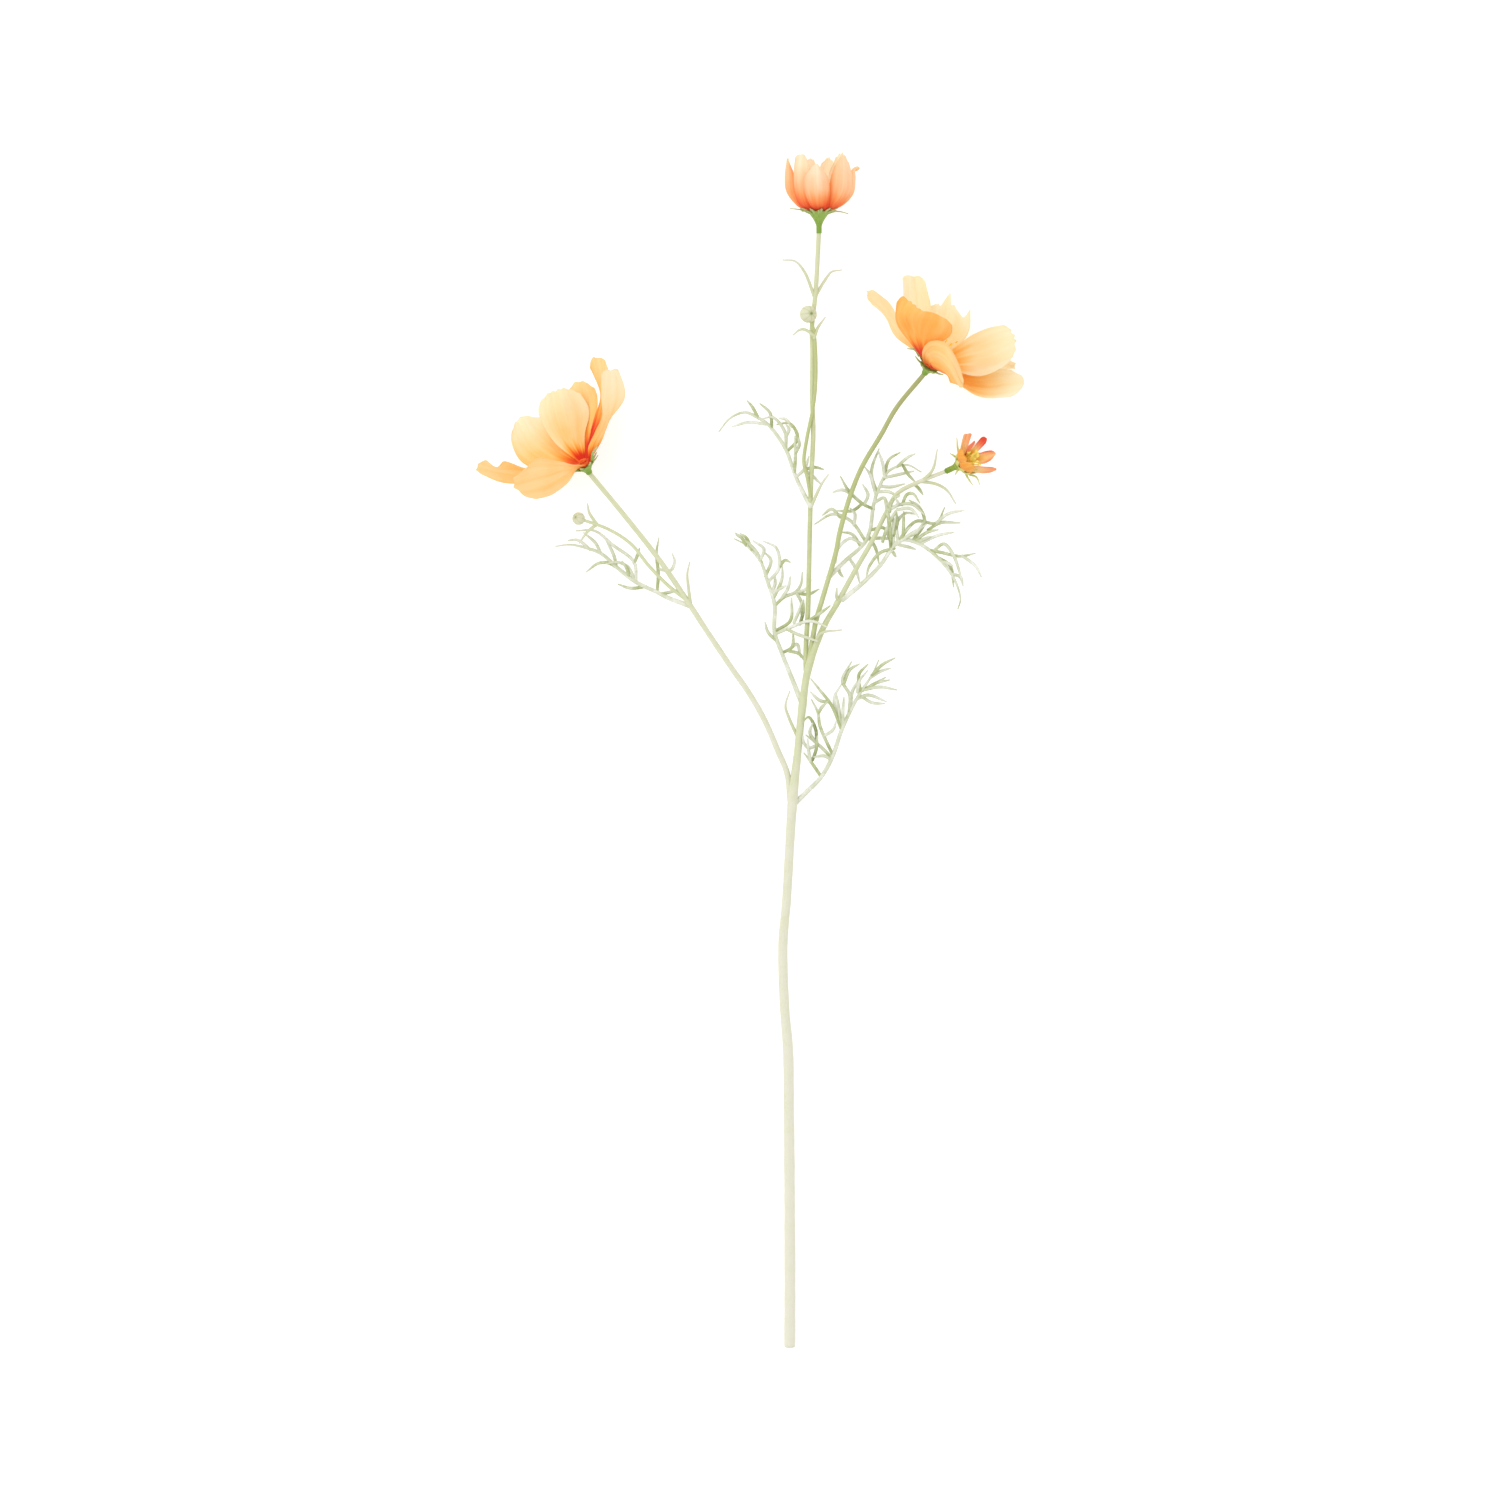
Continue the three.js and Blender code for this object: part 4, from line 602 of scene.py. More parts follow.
RIGHT_PETALS = dict(
    far_left=petal(
        [(905, 331, 45), (891, 307, 44), (874, 290.5, 42)],
        [(902, 336, 37), (884, 308, 33), (866, 291, 29)],
        [(899, 340, 30), (885, 318, 22), (869, 300, 17)],
        look(0.36, 0.3, 0.3, 0.45, right=0.05, teeth=(0.02, 2)),
    ),
    front_left=petal(
        [(905, 338, 54), (894, 318, 63), (900, 295, 67)],
        [(916, 334, 61), (915, 319, 72), (922, 310.5, 77)],
        [(938, 346, 59), (951, 335, 67), (949, 320, 72)],
        look(0.65, 0.58, 0.4, 0.32, left=0.08, line=SAWN_TIP),
        claw=2.6,
    ),
    back_left=petal(
        [(914, 332, 28), (903, 302, 19), (903.5, 276, 15)],
        [(921, 328, 23), (916, 300, 13), (914, 273.5, 8)],
        [(931, 330, 24), (931, 304, 14), (924.5, 278, 9)],
        look(0.28, 0.16, 0.3, 0.3, left=-0.15, line=FLAT_TIP),
    ),
    back=petal(
        [(933, 332, 20), (929, 317, 11), (932, 303, 5)],
        [(943, 328, 17), (947, 312, 7), (951, 291, 0.4)],
        [(962, 342, 18), (970, 328, 9), (971, 306, 2)],
        look(0.36, 0.14, 0.2, 0.3, line=TORN_TIP),
    ),
    right=petal(
        [(966, 339, 27), (986, 328.5, 20), (1006, 324, 17)],
        [(972, 357, 28), (995, 350, 24), (1019, 341, 24)],
        [(972, 375.5, 38), (992, 374, 38), (1009, 363, 37)],
        look(0.37, 0.14, 0.5, 0.4, right=-0.1, line=CUT_TIP),
    ),
    back_right=petal(
        [(962, 352, 14), (987, 350, 4), (1008, 356, 0.4)],
        [(963, 360, 15), (989, 361, 5), (1017, 365, 0.6)],
        [(960, 369, 19), (987, 371, 10), (1008, 370, 6)],
        look(0.1, 0.24, 0.3, 0.3, teeth=(0.02, 3)),
    ),
    lower_right=petal(
        [(968, 372, 28), (990, 368, 24), (1012, 371, 24)],
        [(966, 384, 33), (994, 387, 29), (1025, 382, 27)],
        [(966, 390, 44), (984, 400, 45), (1012, 396, 42)],
        look(0.65, 0.1, 0.1, 0.4, right=-0.16, line=ROUND_TIP),
    ),
    front=petal(
        [(922, 352, 54), (932, 342.5, 66), (947, 347, 74), (963, 384, 69)],
        [(928, 357, 56), (938, 356, 68), (950, 368, 74), (961, 389, 68)],
        [(932, 368, 50), (941, 374, 60), (947, 379, 64), (952, 385.5, 63)],
        look(0.52, 0.4, 0.3, 0.28, right=0.42),
        claw=3.4,
    ),
)
TOP_PETALS = dict(
    centre=petal(
        [(810, 206, 37), (804, 193, 40), (804, 179, 40.5), (813, 166, 40)],
        [(818, 206, 39), (817.5, 192, 45), (817, 178, 45.5), (816.3, 165, 42)],
        [(828, 206.5, 36.5), (830, 193, 40), (827.5, 179, 40.5), (820, 166.5, 40)],
        look(0.38, 0.06, 0.6, 0.56, left=0.24, right=0.36, teeth=(0, 2)),
    ),
    left=petal(
        [(800, 205.5, 30), (795, 191, 29), (793.3, 172, 27), (796, 156.5, 27)],
        [(805, 206, 34), (800, 192, 37.5), (799, 173, 37.5), (801, 154.3, 34)],
        [(811, 206, 35), (809, 192, 40), (811, 174, 40), (806, 157, 37.5)],
        look(0.54, 0.08, 0.44, 0.62, left=0.3, right=0.12, line=ROUND_TIP),
    ),
    far_left=petal(
        [(798, 206, 22), (790, 192, 17), (788.5, 176, 15), (787, 161, 17)],
        [(799.5, 206.5, 27), (787.3, 192, 24), (785.6, 177, 24), (788, 158.3, 24)],
        [(803, 207, 28), (796.5, 193, 27), (795, 178, 27), (790, 163, 26)],
        look(0.5, 0.36, 0.4, 0.5, left=0.1, right=0.26, teeth=(0, 2)),
    ),
    right=petal(
        [(826, 206.5, 33), (828, 193, 35.5), (830.5, 178, 37), (838, 160, 37)],
        [(833, 206, 35), (841, 193, 38), (843, 177, 38), (843, 155.8, 35)],
        [(838, 206.5, 30), (850, 193, 28), (852.5, 178, 27), (848, 161, 28)],
        look(0.36, 0.22, 0.6, 0.6, left=0.3, right=0.12, teeth=(0, 2)),
    ),
    far_right=petal(
        [(838, 207, 27), (849, 194, 25), (851.5, 180, 24), (851, 167, 25)],
        [(840.5, 206.5, 25), (853.3, 193, 21), (855.3, 178, 20), (855, 169, 21), (859.5, 167, 23)],
        [(838, 206, 20), (849, 192, 14), (852, 177, 13), (853, 171, 14), (858, 171, 17)],
        look(0.26, 0.26, 0.5, 0.6, left=0.1, right=0.1, teeth=(0, 2)),
    ),
    back_right=petal(
        [(828, 206, 21), (829, 190, 13.5), (829.5, 172, 12.5), (835, 157.5, 15)],
        [(832, 206, 20), (840, 190, 10.5), (841, 172, 10), (840.7, 151, 12)],
        [(836, 206, 22), (849, 190, 14), (851, 172, 13), (847.5, 155, 16)],
        look(0, 0, 0.4, 0.3, teeth=(0.03, 4)),
    ),
    back=petal(
        [(815, 206, 20), (814, 190, 11.5), (818, 172, 10.5), (825, 158, 13)],
        [(820, 206, 18.5), (823, 190, 9.5), (827, 172, 8.8), (829, 155.5, 11)],
        [(825, 206, 20), (831, 190, 11.5), (835, 172, 10.5), (833, 160, 13)],
        look(0, 0, 0.4, 0.3, teeth=(0.02, 3)),
    ),
    back_left=petal(
        [(803, 206, 22), (797, 190, 15), (799, 172, 14), (805, 160, 16)],
        [(808, 206, 20.5), (806, 190, 11.5), (809, 172, 11), (811, 157.2, 13)],
        [(813, 206, 20), (815, 190, 10.5), (818.5, 172, 10), (815.5, 160.5, 12.5)],
        look(0, 0, 0.4, 0.3, teeth=(0.02, 3)),
    ),
)
DAISY_PETALS = dict(
    up=petal(
        [(960, 456, 42), (960.5, 446, 43), (963.5, 434.8, 44)],
        [(963, 455.5, 40.5), (964, 445.5, 41.5), (967.6, 433.6, 42.5)],
        [(966, 454.5, 41), (968, 446, 42), (971.5, 434.3, 43)],
        look(0.32, 0.6, -0.15, 0.7, left=-0.1, right=0.26, line=FLAT_TIP),
    ),
    narrow=petal(
        [(964.5, 454, 44), (967, 448, 46), (973, 442, 47)],
        [(965.5, 454.5, 43), (968.5, 449.5, 45), (974.3, 441.5, 46)],
        [(966.5, 455.5, 42), (970.2, 450.7, 43.5), (975, 443, 45)],
        look(0.76, 0.76, -0.4, 0.3, teeth=(0, 2)),
    ),
    up_right=petal(
        [(969, 453, 41), (974.5, 445, 41.5), (982.5, 436.5, 42)],
        [(970.5, 454.5, 39.5), (977, 447.3, 39.5), (986, 438.2, 40.5)],
        [(972.5, 455.5, 40), (979.5, 450, 40), (987, 441.5, 41.5)],
        look(0.14, 0.97, 0, 0.5, left=0.06, right=0.06, teeth=(0.01, 2)),
    ),
    right=petal(
        [(973, 456.5, 38.5), (983, 452.5, 38), (992.5, 450.5, 38.5)],
        [(974, 460, 37), (984, 457.5, 36), (995.5, 454, 37)],
        [(974, 463.5, 37.5), (983, 464, 37), (991.5, 460.5, 38)],
        look(0.14, 0.54, -0.02, 0.5, left=0.54, right=0.42, teeth=(0.02, 2)),
    ),
    low_right=petal(
        [(972.5, 466.5, 41), (983, 467, 41), (994, 467.8, 41)],
        [(972, 469, 38.5), (983, 470.2, 38), (996, 470.2, 38.5)],
        [(970.5, 471.5, 37), (981, 473.4, 36), (991, 473, 36.5)],
        look(0.36, 0.68, -0.15, 0.4, left=0.16, right=0.16, teeth=(0.01, 2)),
    ),
    front_up=petal(
        [(959.5, 455, 45), (959, 450, 50), (962.6, 449.6, 54)],
        [(958, 460, 46.5), (957.6, 457, 53.5), (964.4, 457, 57.5)],
        [(960, 464, 45.5), (961, 463, 52), (968.4, 462.6, 55)],
        look(0.04, 0.12, 0.02, 0.4, right=0.12, teeth=(0.05, 2)),
    ),
    front_low=petal(
        [(959, 462.5, 45), (961, 462, 51), (971, 463.5, 54)],
        [(960.5, 468, 44.5), (964, 469, 50), (974, 466.5, 53)],
        [(965, 470, 42), (969, 473, 45), (975.5, 471, 48)],
        look(0.04, 0.14, 0.02, 0.4, left=0.12, right=0.06, teeth=(0.05, 2)),
    ),
    under=petal(
        [(971, 456.5, 36), (977, 453.5, 34), (982, 452.5, 33)],
        [(972, 459, 35), (979, 457, 32.5), (985, 455.5, 31.5)],
        [(972, 461.5, 35.5), (979, 461, 33.5), (983, 460, 33)],
        look(0.44, 0.6, -0.2, 0.5, teeth=(0.02, 2)),
    ),
)

# How the petals of each kind of flower are made: distance of their roots from the axis, half their
# width there, thickness, rows and columns of faces, depth of the pleats and of the waved rim, and
# how far the blush breaks up into flames
BLOOM_BLADE = dict(rim=4, claw=1.5, thick=0.3, grid=(60, 44), pleat=0.24, wave=0.5, flames=0.6)
TOP_BLADE = dict(rim=3.4, claw=2, thick=0.3, grid=(56, 32), pleat=0.12, wave=0.25, flames=0.3)
DAISY_BLADE = dict(rim=3, claw=0.9, thick=0.4, grid=(36, 18), pleat=0.1, wave=0.12, flames=0.5)

# Cups under the flowers as radius and rise, and the bracts round them
FUNNEL = [(1.5, GAP), (1.7, 1), (1.9, 2), (3.4, 3.7), (5.2, 4.8), (5, 5.3)]
BLOOM_BRACTS = dict(count=8, start=0.5, wide=2.2, line=[(3.8, 4.8), (7.2, 6), (9.8, 7.6)])
RIGHT_BRACT = [(919, 357, 42), (914.5, 350.5, 44), (906.5, 349.5, 45)]
LEFT_BRACT = [(592, 461, 40), (593.5, 453, 42), (597.9, 447, 43)]
LOOSE_BRACT_WIDTH = 1.5
SLEEVE = [(1.36, GAP), (1.4, 2.4), (1.45, 4.2), (2.5, 7), (5, 10.6), (6.4, 12), (6, 12.4)]
TOP_BRACTS = dict(
    count=8,
    start=0,
    wide=1.5,
    line=[(3.6, 10), (9.5, 12.4), (15.5, 13)],
    lengths=[1, 0.76, 0.8, 0.74, 1, 0.86, 0.8, 0.9],
    droops=[2.4, 0.6, 1.2, 0.2, -0.5, 0.8, 0, 1],
)
TOP_SCALES = dict(count=11, start=0.4, wide=3, line=[(4.8, 10.5), (7, 12), (10.4, 13.7)])
DAISY_CUP = [(1.5, GAP), (1.52, 3), (1.6, 6), (3.7, 11), (3.3, 13.4)]
DAISY_SCALES = dict(
    count=10, start=0.2, wide=5, line=[(3.1, 10.4), (5.2, 12), (7, 14.2), (7.7, 17)]
)
DAISY_BRACTS = [
    [(960.9, 460.4, 39.1), (957.6, 450, 39.5), (956.4, 438, 40.5)],
    [(959.5, 461.7, 40.3), (954.5, 457, 42), (949.5, 454, 43)],
    [(961, 467, 40.5), (957, 471.5, 41.5), (954.5, 475.5, 42)],
    [(962.9, 467.5, 39.8), (967, 477.5, 40), (972.5, 486, 42)],
    [(963.7, 467.3, 39.3), (968.5, 474.5, 38.5), (976, 477.5, 38), (979.7, 485.5, 37.5)],
    [(962, 460.5, 38.3), (963, 452, 36.5), (964.5, 445, 35.5)],
    [(964.2, 463.3, 37.8), (971, 459, 32), (977, 456, 28.5)],
    [(964, 466, 38.3), (972, 469.5, 34), (979, 472, 31.5)],
]
DAISY_BRACT_WIDTH = 1.25

# Floret discs: florets, stamens and their length, and the tone at the florets' roots
LEFT_DISC = dict(radius=2.2, height=1.5, florets=52, stamens=0, length=0, core=0.85)
RIGHT_DISC = dict(radius=2.4, height=3.4, florets=52, stamens=9, length=17, core=0.85)
TOP_DISC = dict(radius=2.4, height=3.2, florets=44, stamens=8, length=9, core=0.85)
DAISY_DISC = dict(radius=3, height=3.8, florets=110, stamens=56, length=5.4, core=0.4)

# Painted swatches of each finish, from tone 0 to tone 1
BLOOM_STOPS = [
    (0.0, (255, 247, 224)),
    (0.2, (255, 241, 206)),
    (0.4, (255, 227, 168)),
    (0.55, (255, 211, 126)),
    (0.7, (255, 189, 76)),
    (0.82, (250, 142, 44)),
    (0.92, (242, 88, 24)),
    (1.0, (230, 34, 14)),
]
TOP_STOPS = [
    (0.0, (255, 249, 232)),
    (0.2, (255, 236, 206)),
    (0.4, (255, 218, 170)),
    (0.6, (253, 186, 110)),
    (0.8, (251, 138, 70)),
    (1.0, (240, 80, 40)),
]
DAISY_STOPS = [
    (0.0, (244, 152, 48)),
    (0.12, (250, 178, 74)),
    (0.26, (255, 216, 112)),
    (0.42, (255, 226, 164)),
    (0.6, (255, 188, 130)),
    (0.8, (250, 136, 100)),
    (1.0, (236, 70, 46)),
]
STEM_STOPS = [
    (0.0, (223, 221, 203)),
    (0.3, (207, 211, 172)),
    (0.6, (184, 192, 134)),
    (1.0, (164, 168, 112)),
]
LEAF_STOPS = [
    (0.0, (232, 232, 222)),
    (0.35, (208, 212, 186)),
    (0.65, (178, 188, 136)),
    (1.0, (128, 138, 92)),
]
BUD_STOPS = [(0.0, (212, 212, 182)), (0.5, (196, 200, 160)), (1.0, (140, 152, 100))]
CALYX_STOPS = [
    (0.0, (124, 158, 58)),
    (0.35, (146, 176, 84)),
    (0.7, (176, 190, 122)),
    (1.0, (208, 206, 164)),
]
DAISY_CALYX_STOPS = [
    (0.0, (108, 144, 48)),
    (0.35, (170, 178, 66)),
    (0.7, (210, 210, 124)),
    (1.0, (226, 224, 180)),
]
DISC_STOPS = [
    (0.0, (255, 236, 124)),
    (0.3, (255, 218, 84)),
    (0.6, (255, 190, 54)),
    (1.0, (228, 144, 40)),
]
RED_DISC_STOPS = [
    (0.0, (255, 176, 70)),
    (0.3, (248, 96, 34)),
    (0.6, (236, 52, 20)),
    (1.0, (170, 26, 12)),
]


# ---- Curves ----


def at(x, y, z=0.0):
    """Place in the spray's own frame, in millimetres, from a picture place and a height."""
    return np.array([(x - STEM_COLUMN) * SCALE, (FOOT_ROW - y) * SCALE, z])


def unit(vector):
    return vector / np.maximum(np.linalg.norm(vector, axis=-1, keepdims=True), SMALLEST)


def smooth(value, low, high):
    """Runs softly from 0 at low to 1 at high."""
    share = np.clip((value - low) / (high - low), 0, 1)
    return share * share * (3 - 2 * share)


def crossed(down, across):
    """Grids of two counts, one that runs down the rows and one across the columns."""
    return np.meshgrid(down, across, indexing="ij")


def lengths_along(points):
    """Length of a line from its start to each of its points."""
    steps = np.linalg.norm(np.diff(points, axis=0), axis=1)
    return np.concatenate([[0], np.cumsum(steps)])


def run_of(places, shares):
    """Points of a smooth line through given places, with shares counted from place to place."""
    places = np.asarray(places, float)
    ends = np.vstack([2 * places[0] - places[1], places, 2 * places[-1] - places[-2]])
    spot = np.clip(np.asarray(shares, float), 0, 1) * (len(places) - 1)
    first = np.minimum(spot.astype(int), len(places) - 2)
    part_way = (spot - first)[..., None]
    before, start, end, after = (ends[first + step] for step in range(4))
    gap_before = np.sqrt(np.linalg.norm(start - before, axis=-1, keepdims=True))
    gap = np.sqrt(np.linalg.norm(end - start, axis=-1, keepdims=True))
    gap_after = np.sqrt(np.linalg.norm(after - end, axis=-1, keepdims=True))
    onward = (end - start) / gap
    leave = (start - before) / gap_before - (end - before) / (gap_before + gap) + onward
    arrive = onward - (after - start) / (gap + gap_after) + (after - end) / gap_after
    leave = leave * gap
    arrive = arrive * gap
    bend = 3 * (end - start) - 2 * leave - arrive
    twist = 2 * (start - end) + leave + arrive
    return start + leave * part_way + bend * part_way**2 + twist * part_way**3


def even_run(places, shares):
    """Points of the same line with shares counted by its length."""
    fine = np.linspace(0, 1, LENGTH_STEPS)
    lengths = lengths_along(run_of(places, fine))
    return run_of(places, np.interp(shares * lengths[-1], lengths, fine))


def varied(usual_spread_pace, number):
    """A value that differs a little from one numbered piece to the next."""
    usual, spread, pace = usual_spread_pace
    return usual + spread * math.sin(number * pace)


# ---- Parts: points with faces, a flat layout and a tone ----


def part(points, faces, layout, tone):
    return dict(
        points=points.reshape(-1, 3),
        faces=faces,
        layout=layout.reshape(-1, 2),
        tone=tone.ravel(),
    )


def grid_faces(rows, columns, closed=False):
    """Four-sided faces of a grid of points; a closed grid joins its last column to its first."""
    row, column = crossed(np.arange(rows - 1), np.arange(columns if closed else columns - 1))
    following = (column + 1) % columns
    corners = [row * columns + column, row * columns + following]
    corners += [(row + 1) * columns + following, (row + 1) * columns + column]
    return np.stack([corner.ravel() for corner in corners], axis=1)


def full_turn(sides):
    return np.linspace(0, 2 * math.pi, sides, endpoint=False)


def ribbed(turn, ribs):
    """How a round part swells at each turn, from the number and depth of its ribs."""
    count, depth = ribs
    return 1 + depth * np.cos(count * turn)


def round_layout(turn, run):
    """Flat layout of a round part, out and back round it so that its two ends meet unseen."""
    return np.stack(np.broadcast_arrays(np.abs(turn / math.pi - 1), run[:, None]), axis=-1)


def surface_normals(points):
    along = np.gradient(points, axis=0)
    across = np.gradient(points, axis=1)
    return unit(np.cross(across, along))


def sheet(points, thick, along, across, tone):
    """A thin blade: two faces that lie beside a surface, joined round the rim."""
    rows, columns, _ = points.shape
    count = rows * columns
    offset = surface_normals(points) * np.asarray(thick)[..., None] / 2
    names = np.arange(count).reshape(rows, columns)
    rim = np.concatenate([names[0, :], names[1:, -1], names[-1, -2::-1], names[-2:0:-1, 0]])
    onward = np.roll(rim, -1)
    edge = np.stack([rim, onward, onward + count, rim + count], axis=1)
    faces = grid_faces(rows, columns)
    faces = np.concatenate([faces, faces[:, ::-1] + count, edge[:, ::-1]])
    layout = np.stack([across / 2 + 0.5, along], axis=-1)
    both = np.stack([points + offset, points - offset])
    return part(both, faces, np.stack([layout, layout]), np.stack([tone, tone]))


def domed(path, radii, tone, domes):
    """A rod's path, radii, tones and headings, with a dome added at each end."""
    bend = np.radians(DOME_BENDS)
    reach = np.sin(bend)
    shrink = np.maximum(np.cos(bend), DOME_TIP)
    heading = unit(np.gradient(path, axis=0))
    foot = path[0] - heading[0] * (domes[0] * radii[0] * reach)[::-1, None]
    top = path[-1] + heading[-1] * (domes[1] * radii[-1] * reach)[:, None]
    path = np.concatenate([foot, path, top])
    radii = np.concatenate([radii[0] * shrink[::-1], radii, radii[-1] * shrink])
    extra = len(bend)
    tone = np.pad(tone, extra, mode="edge")
    heading = np.pad(heading, ((extra, extra), (0, 0)), mode="edge")
    return path, radii, tone, heading


def carried_up(heading):
    """Directions square to a rod that turn no more than the rod itself does."""
    steep = abs(heading[0][2]) > NEARLY_UPRIGHT
    normal = np.array([1.0, 0.0, 0.0] if steep else [0.0, 0.0, 1.0])
    upright = np.zeros_like(heading)
    for spot, way in enumerate(heading):
        normal = unit(normal - way * np.dot(normal, way))
        upright[spot] = normal
    return upright


def tube(path, radii, sides, tone, flat=1.0, ribs=NO_RIBS, domes=(1, 1)):
    """A rod along a path, squeezed by flat, with ribs round it and a dome at each end."""
    path, radii, tone, heading = domed(path, radii, tone, domes)
    upright = carried_up(heading)
    sideways = np.cross(heading, upright)
    turn = full_turn(sides)
    swell = ribbed(turn, ribs)
    ring_up = (np.cos(turn) * swell * flat)[None, :, None] * upright[:, None, :]
    ring_side = (np.sin(turn) * swell)[None, :, None] * sideways[:, None, :]
    points = path[:, None, :] + radii[:, None, None] * (ring_up + ring_side)
    layout = round_layout(turn, lengths_along(path) / LAYOUT_LENGTH)
    faces = grid_faces(len(path), sides, closed=True)[:, ::-1]
    return part(points, faces, layout, np.repeat(tone[:, None], sides, axis=1))


def rod(places, radii, sides, steps, tone, **shape):
    """A rod through given places, with its radii evenly along it and its tone at both ends."""
    shares = np.linspace(0, 1, steps + 1)
    radii = np.interp(shares, np.linspace(0, 1, len(radii)), radii)
    tones = np.interp(shares, [0, 1], tone)
    return tube(even_run(places, shares), radii, sides, tones, **shape)


def put_in_scene(name, thing):
    holder = bpy.data.objects.new(name, thing)
    bpy.context.scene.collection.objects.link(holder)
    return holder


def make_piece(name, node, parts, finish):
    """Joins parts into one smooth piece that moves with the spray and stands for one of its solids."""
    points = np.concatenate([one["points"] for one in parts])
    layout = np.concatenate([one["layout"] for one in parts])
    tones = np.concatenate([one["tone"] for one in parts])
    starts = np.cumsum([0] + [len(one["points"]) for one in parts])
    faces = np.concatenate([one["faces"] + start for one, start in zip(parts, starts)])
    mesh = bpy.data.meshes.new(name)
    mesh.from_pydata(((points + ORIGIN) * MM).tolist(), [], faces.tolist())
    corners = np.empty(len(mesh.loops), int)
    mesh.loops.foreach_get("vertex_index", corners)
    mesh.uv_layers.new(name="layout").data.foreach_set("uv", layout[corners].ravel())
    mesh.attributes.new("tone", "FLOAT", "POINT").data.foreach_set("value", tones)
    mesh.polygons.foreach_set("use_smooth", np.ones(len(faces), bool))
    mesh.materials.append(finish)
    mesh.validate()
    mesh.update()
    piece = put_in_scene(name, mesh)
    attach(piece, "root")
    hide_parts(node)


# ---- Stem, stalks and stem leaves ----


def branch_points(branch):
    """Places of a branch, which rises evenly along its length."""
    places = np.array([at(x, y) for x, y in branch["route"]])
    lengths = lengths_along(places)
    places[:, 2] = np.interp(lengths, [0, lengths[-1]], branch["height"])
    return places


def main_stem():
    """The main stem, with the knuckles where the branches leave it."""
    places = np.array([at(x, y) for x, y, _ in MAIN_STEM])
    rise = places[:, 1] / places[-1, 1]
    foot, end, ease = MAIN_HEIGHTS["foot"], MAIN_HEIGHTS["end"], MAIN_HEIGHTS["ease"]
    places[:, 2] = foot + (end - foot) * rise**ease
    places[0, 1] += FOOT_DOME * foot
    path = even_run(places, np.linspace(0, 1, MAIN_STEPS + 1))
    rows = FOOT_ROW - path[:, 1] / SCALE
    _, stem_rows, widths = np.array(MAIN_STEM)[::-1].T
    radii = np.interp(rows, stem_rows, widths) * SCALE / 2
    for row, reach, gain in KNUCKLES:
        radii = radii * (1 + gain * np.exp(-(((rows - row) / reach) ** 2)))
    swell = 1
    for depth, pace, start in STEM_WAVES:
        swell = swell + depth * np.sin(rows * pace + start)
    green = np.interp(rows, *zip(*MAIN_GREEN))
    return tube(path, radii * swell, MAIN_SIDES, green, ribs=MAIN_RIBS, domes=(FOOT_DOME, 1))


def branch_rod(branch):
    """A side branch with a slight sheath where it leaves the stem."""
    shares = np.linspace(0, 1, BRANCH_STEPS + 1)
    path = even_run(branch_points(branch), shares)
    sheath = SHEATH_SWELL * np.exp(-((shares / SHEATH_REACH) ** 2))
    uneven = BRANCH_WAVE * np.sin(shares * BRANCH_WAVE_PACE)
    radii = np.interp(shares, [0, 1], branch["width"]) * SCALE / 2 * (1 + sheath + uneven)
    low_green, high_green = branch["green"]
    green = np.interp(shares, [0, GREEN_START, 1], [low_green, low_green, high_green])
    return tube(path, radii, BRANCH_SIDES, green, ribs=BRANCH_RIBS)


def stalk_rod(stalk):
    """The thin stalk of a bud."""
    radii = [width * SCALE / 2 for width in stalk["width"]]
    places = branch_points(stalk)
    return rod(places, radii, STALK_SIDES, STALK_STEPS, stalk["green"], ribs=STALK_RIBS)


def twig_rod(twig):
    """A thread-like stem leaf, a little wider at its root and drawn out to a fine tip."""
    radius = TWIG_WIDTH * SCALE / 2
    radii = [radius * TWIG_ROOT, radius, TWIG_TIP / 2]
    return rod(branch_points(twig), radii, TWIG_SIDES, TWIG_STEPS, TWIG_GREEN, flat=TWIG_FLAT)


def stem_parts():
    parts = [main_stem()] + [branch_rod(branch) for branch in BRANCHES]
    parts += [stalk_rod(stalk) for stalk in BUD_STALKS]
    return parts + [twig_rod(twig) for twig in STEM_TWIGS]


# ---- Buds ----


def bud_part(bud):
    """A round bud with shallow seams that meet in a dimple at its tip."""
    rings = np.linspace(BUD_POLE, math.pi - BUD_POLE, BUD_RINGS)
    sides = full_turn(BUD_SIDES)
    polar, turn = crossed(rings, sides)
    tip = unit(np.array(bud["tip"], float))
    side = unit(np.cross(tip, [0.0, 1.0, 0.1]))
    front = np.cross(tip, side)
    dimple = np.exp(-((polar / DIMPLE_REACH) ** 2))
    groove = 1 - np.abs(np.sin(turn * BUD_SEAMS / 2)) ** SEAM_SHARPNESS
    groove = groove * smooth(polar, *SEAMS_DEEPEN) * (1 - smooth(polar, *SEAMS_FADE))
    radius = bud["radius"] * (1 - DIMPLE_DEPTH * dimple - SEAM_DEPTH * groove)
    points = at(*bud["centre"], bud["height"]) + radius[..., None] * (
        np.cos(polar)[..., None] * tip
        + (np.sin(polar) * np.cos(turn))[..., None] * side
        + (np.sin(polar) * np.sin(turn))[..., None] * front
    )
    tone = np.clip(dimple + 0.5 * groove, 0, 1)
    faces = grid_faces(*polar.shape, closed=True)[:, ::-1]
    return part(points, faces, round_layout(sides, rings / math.pi), tone)


# ---- Feathery leaves ----


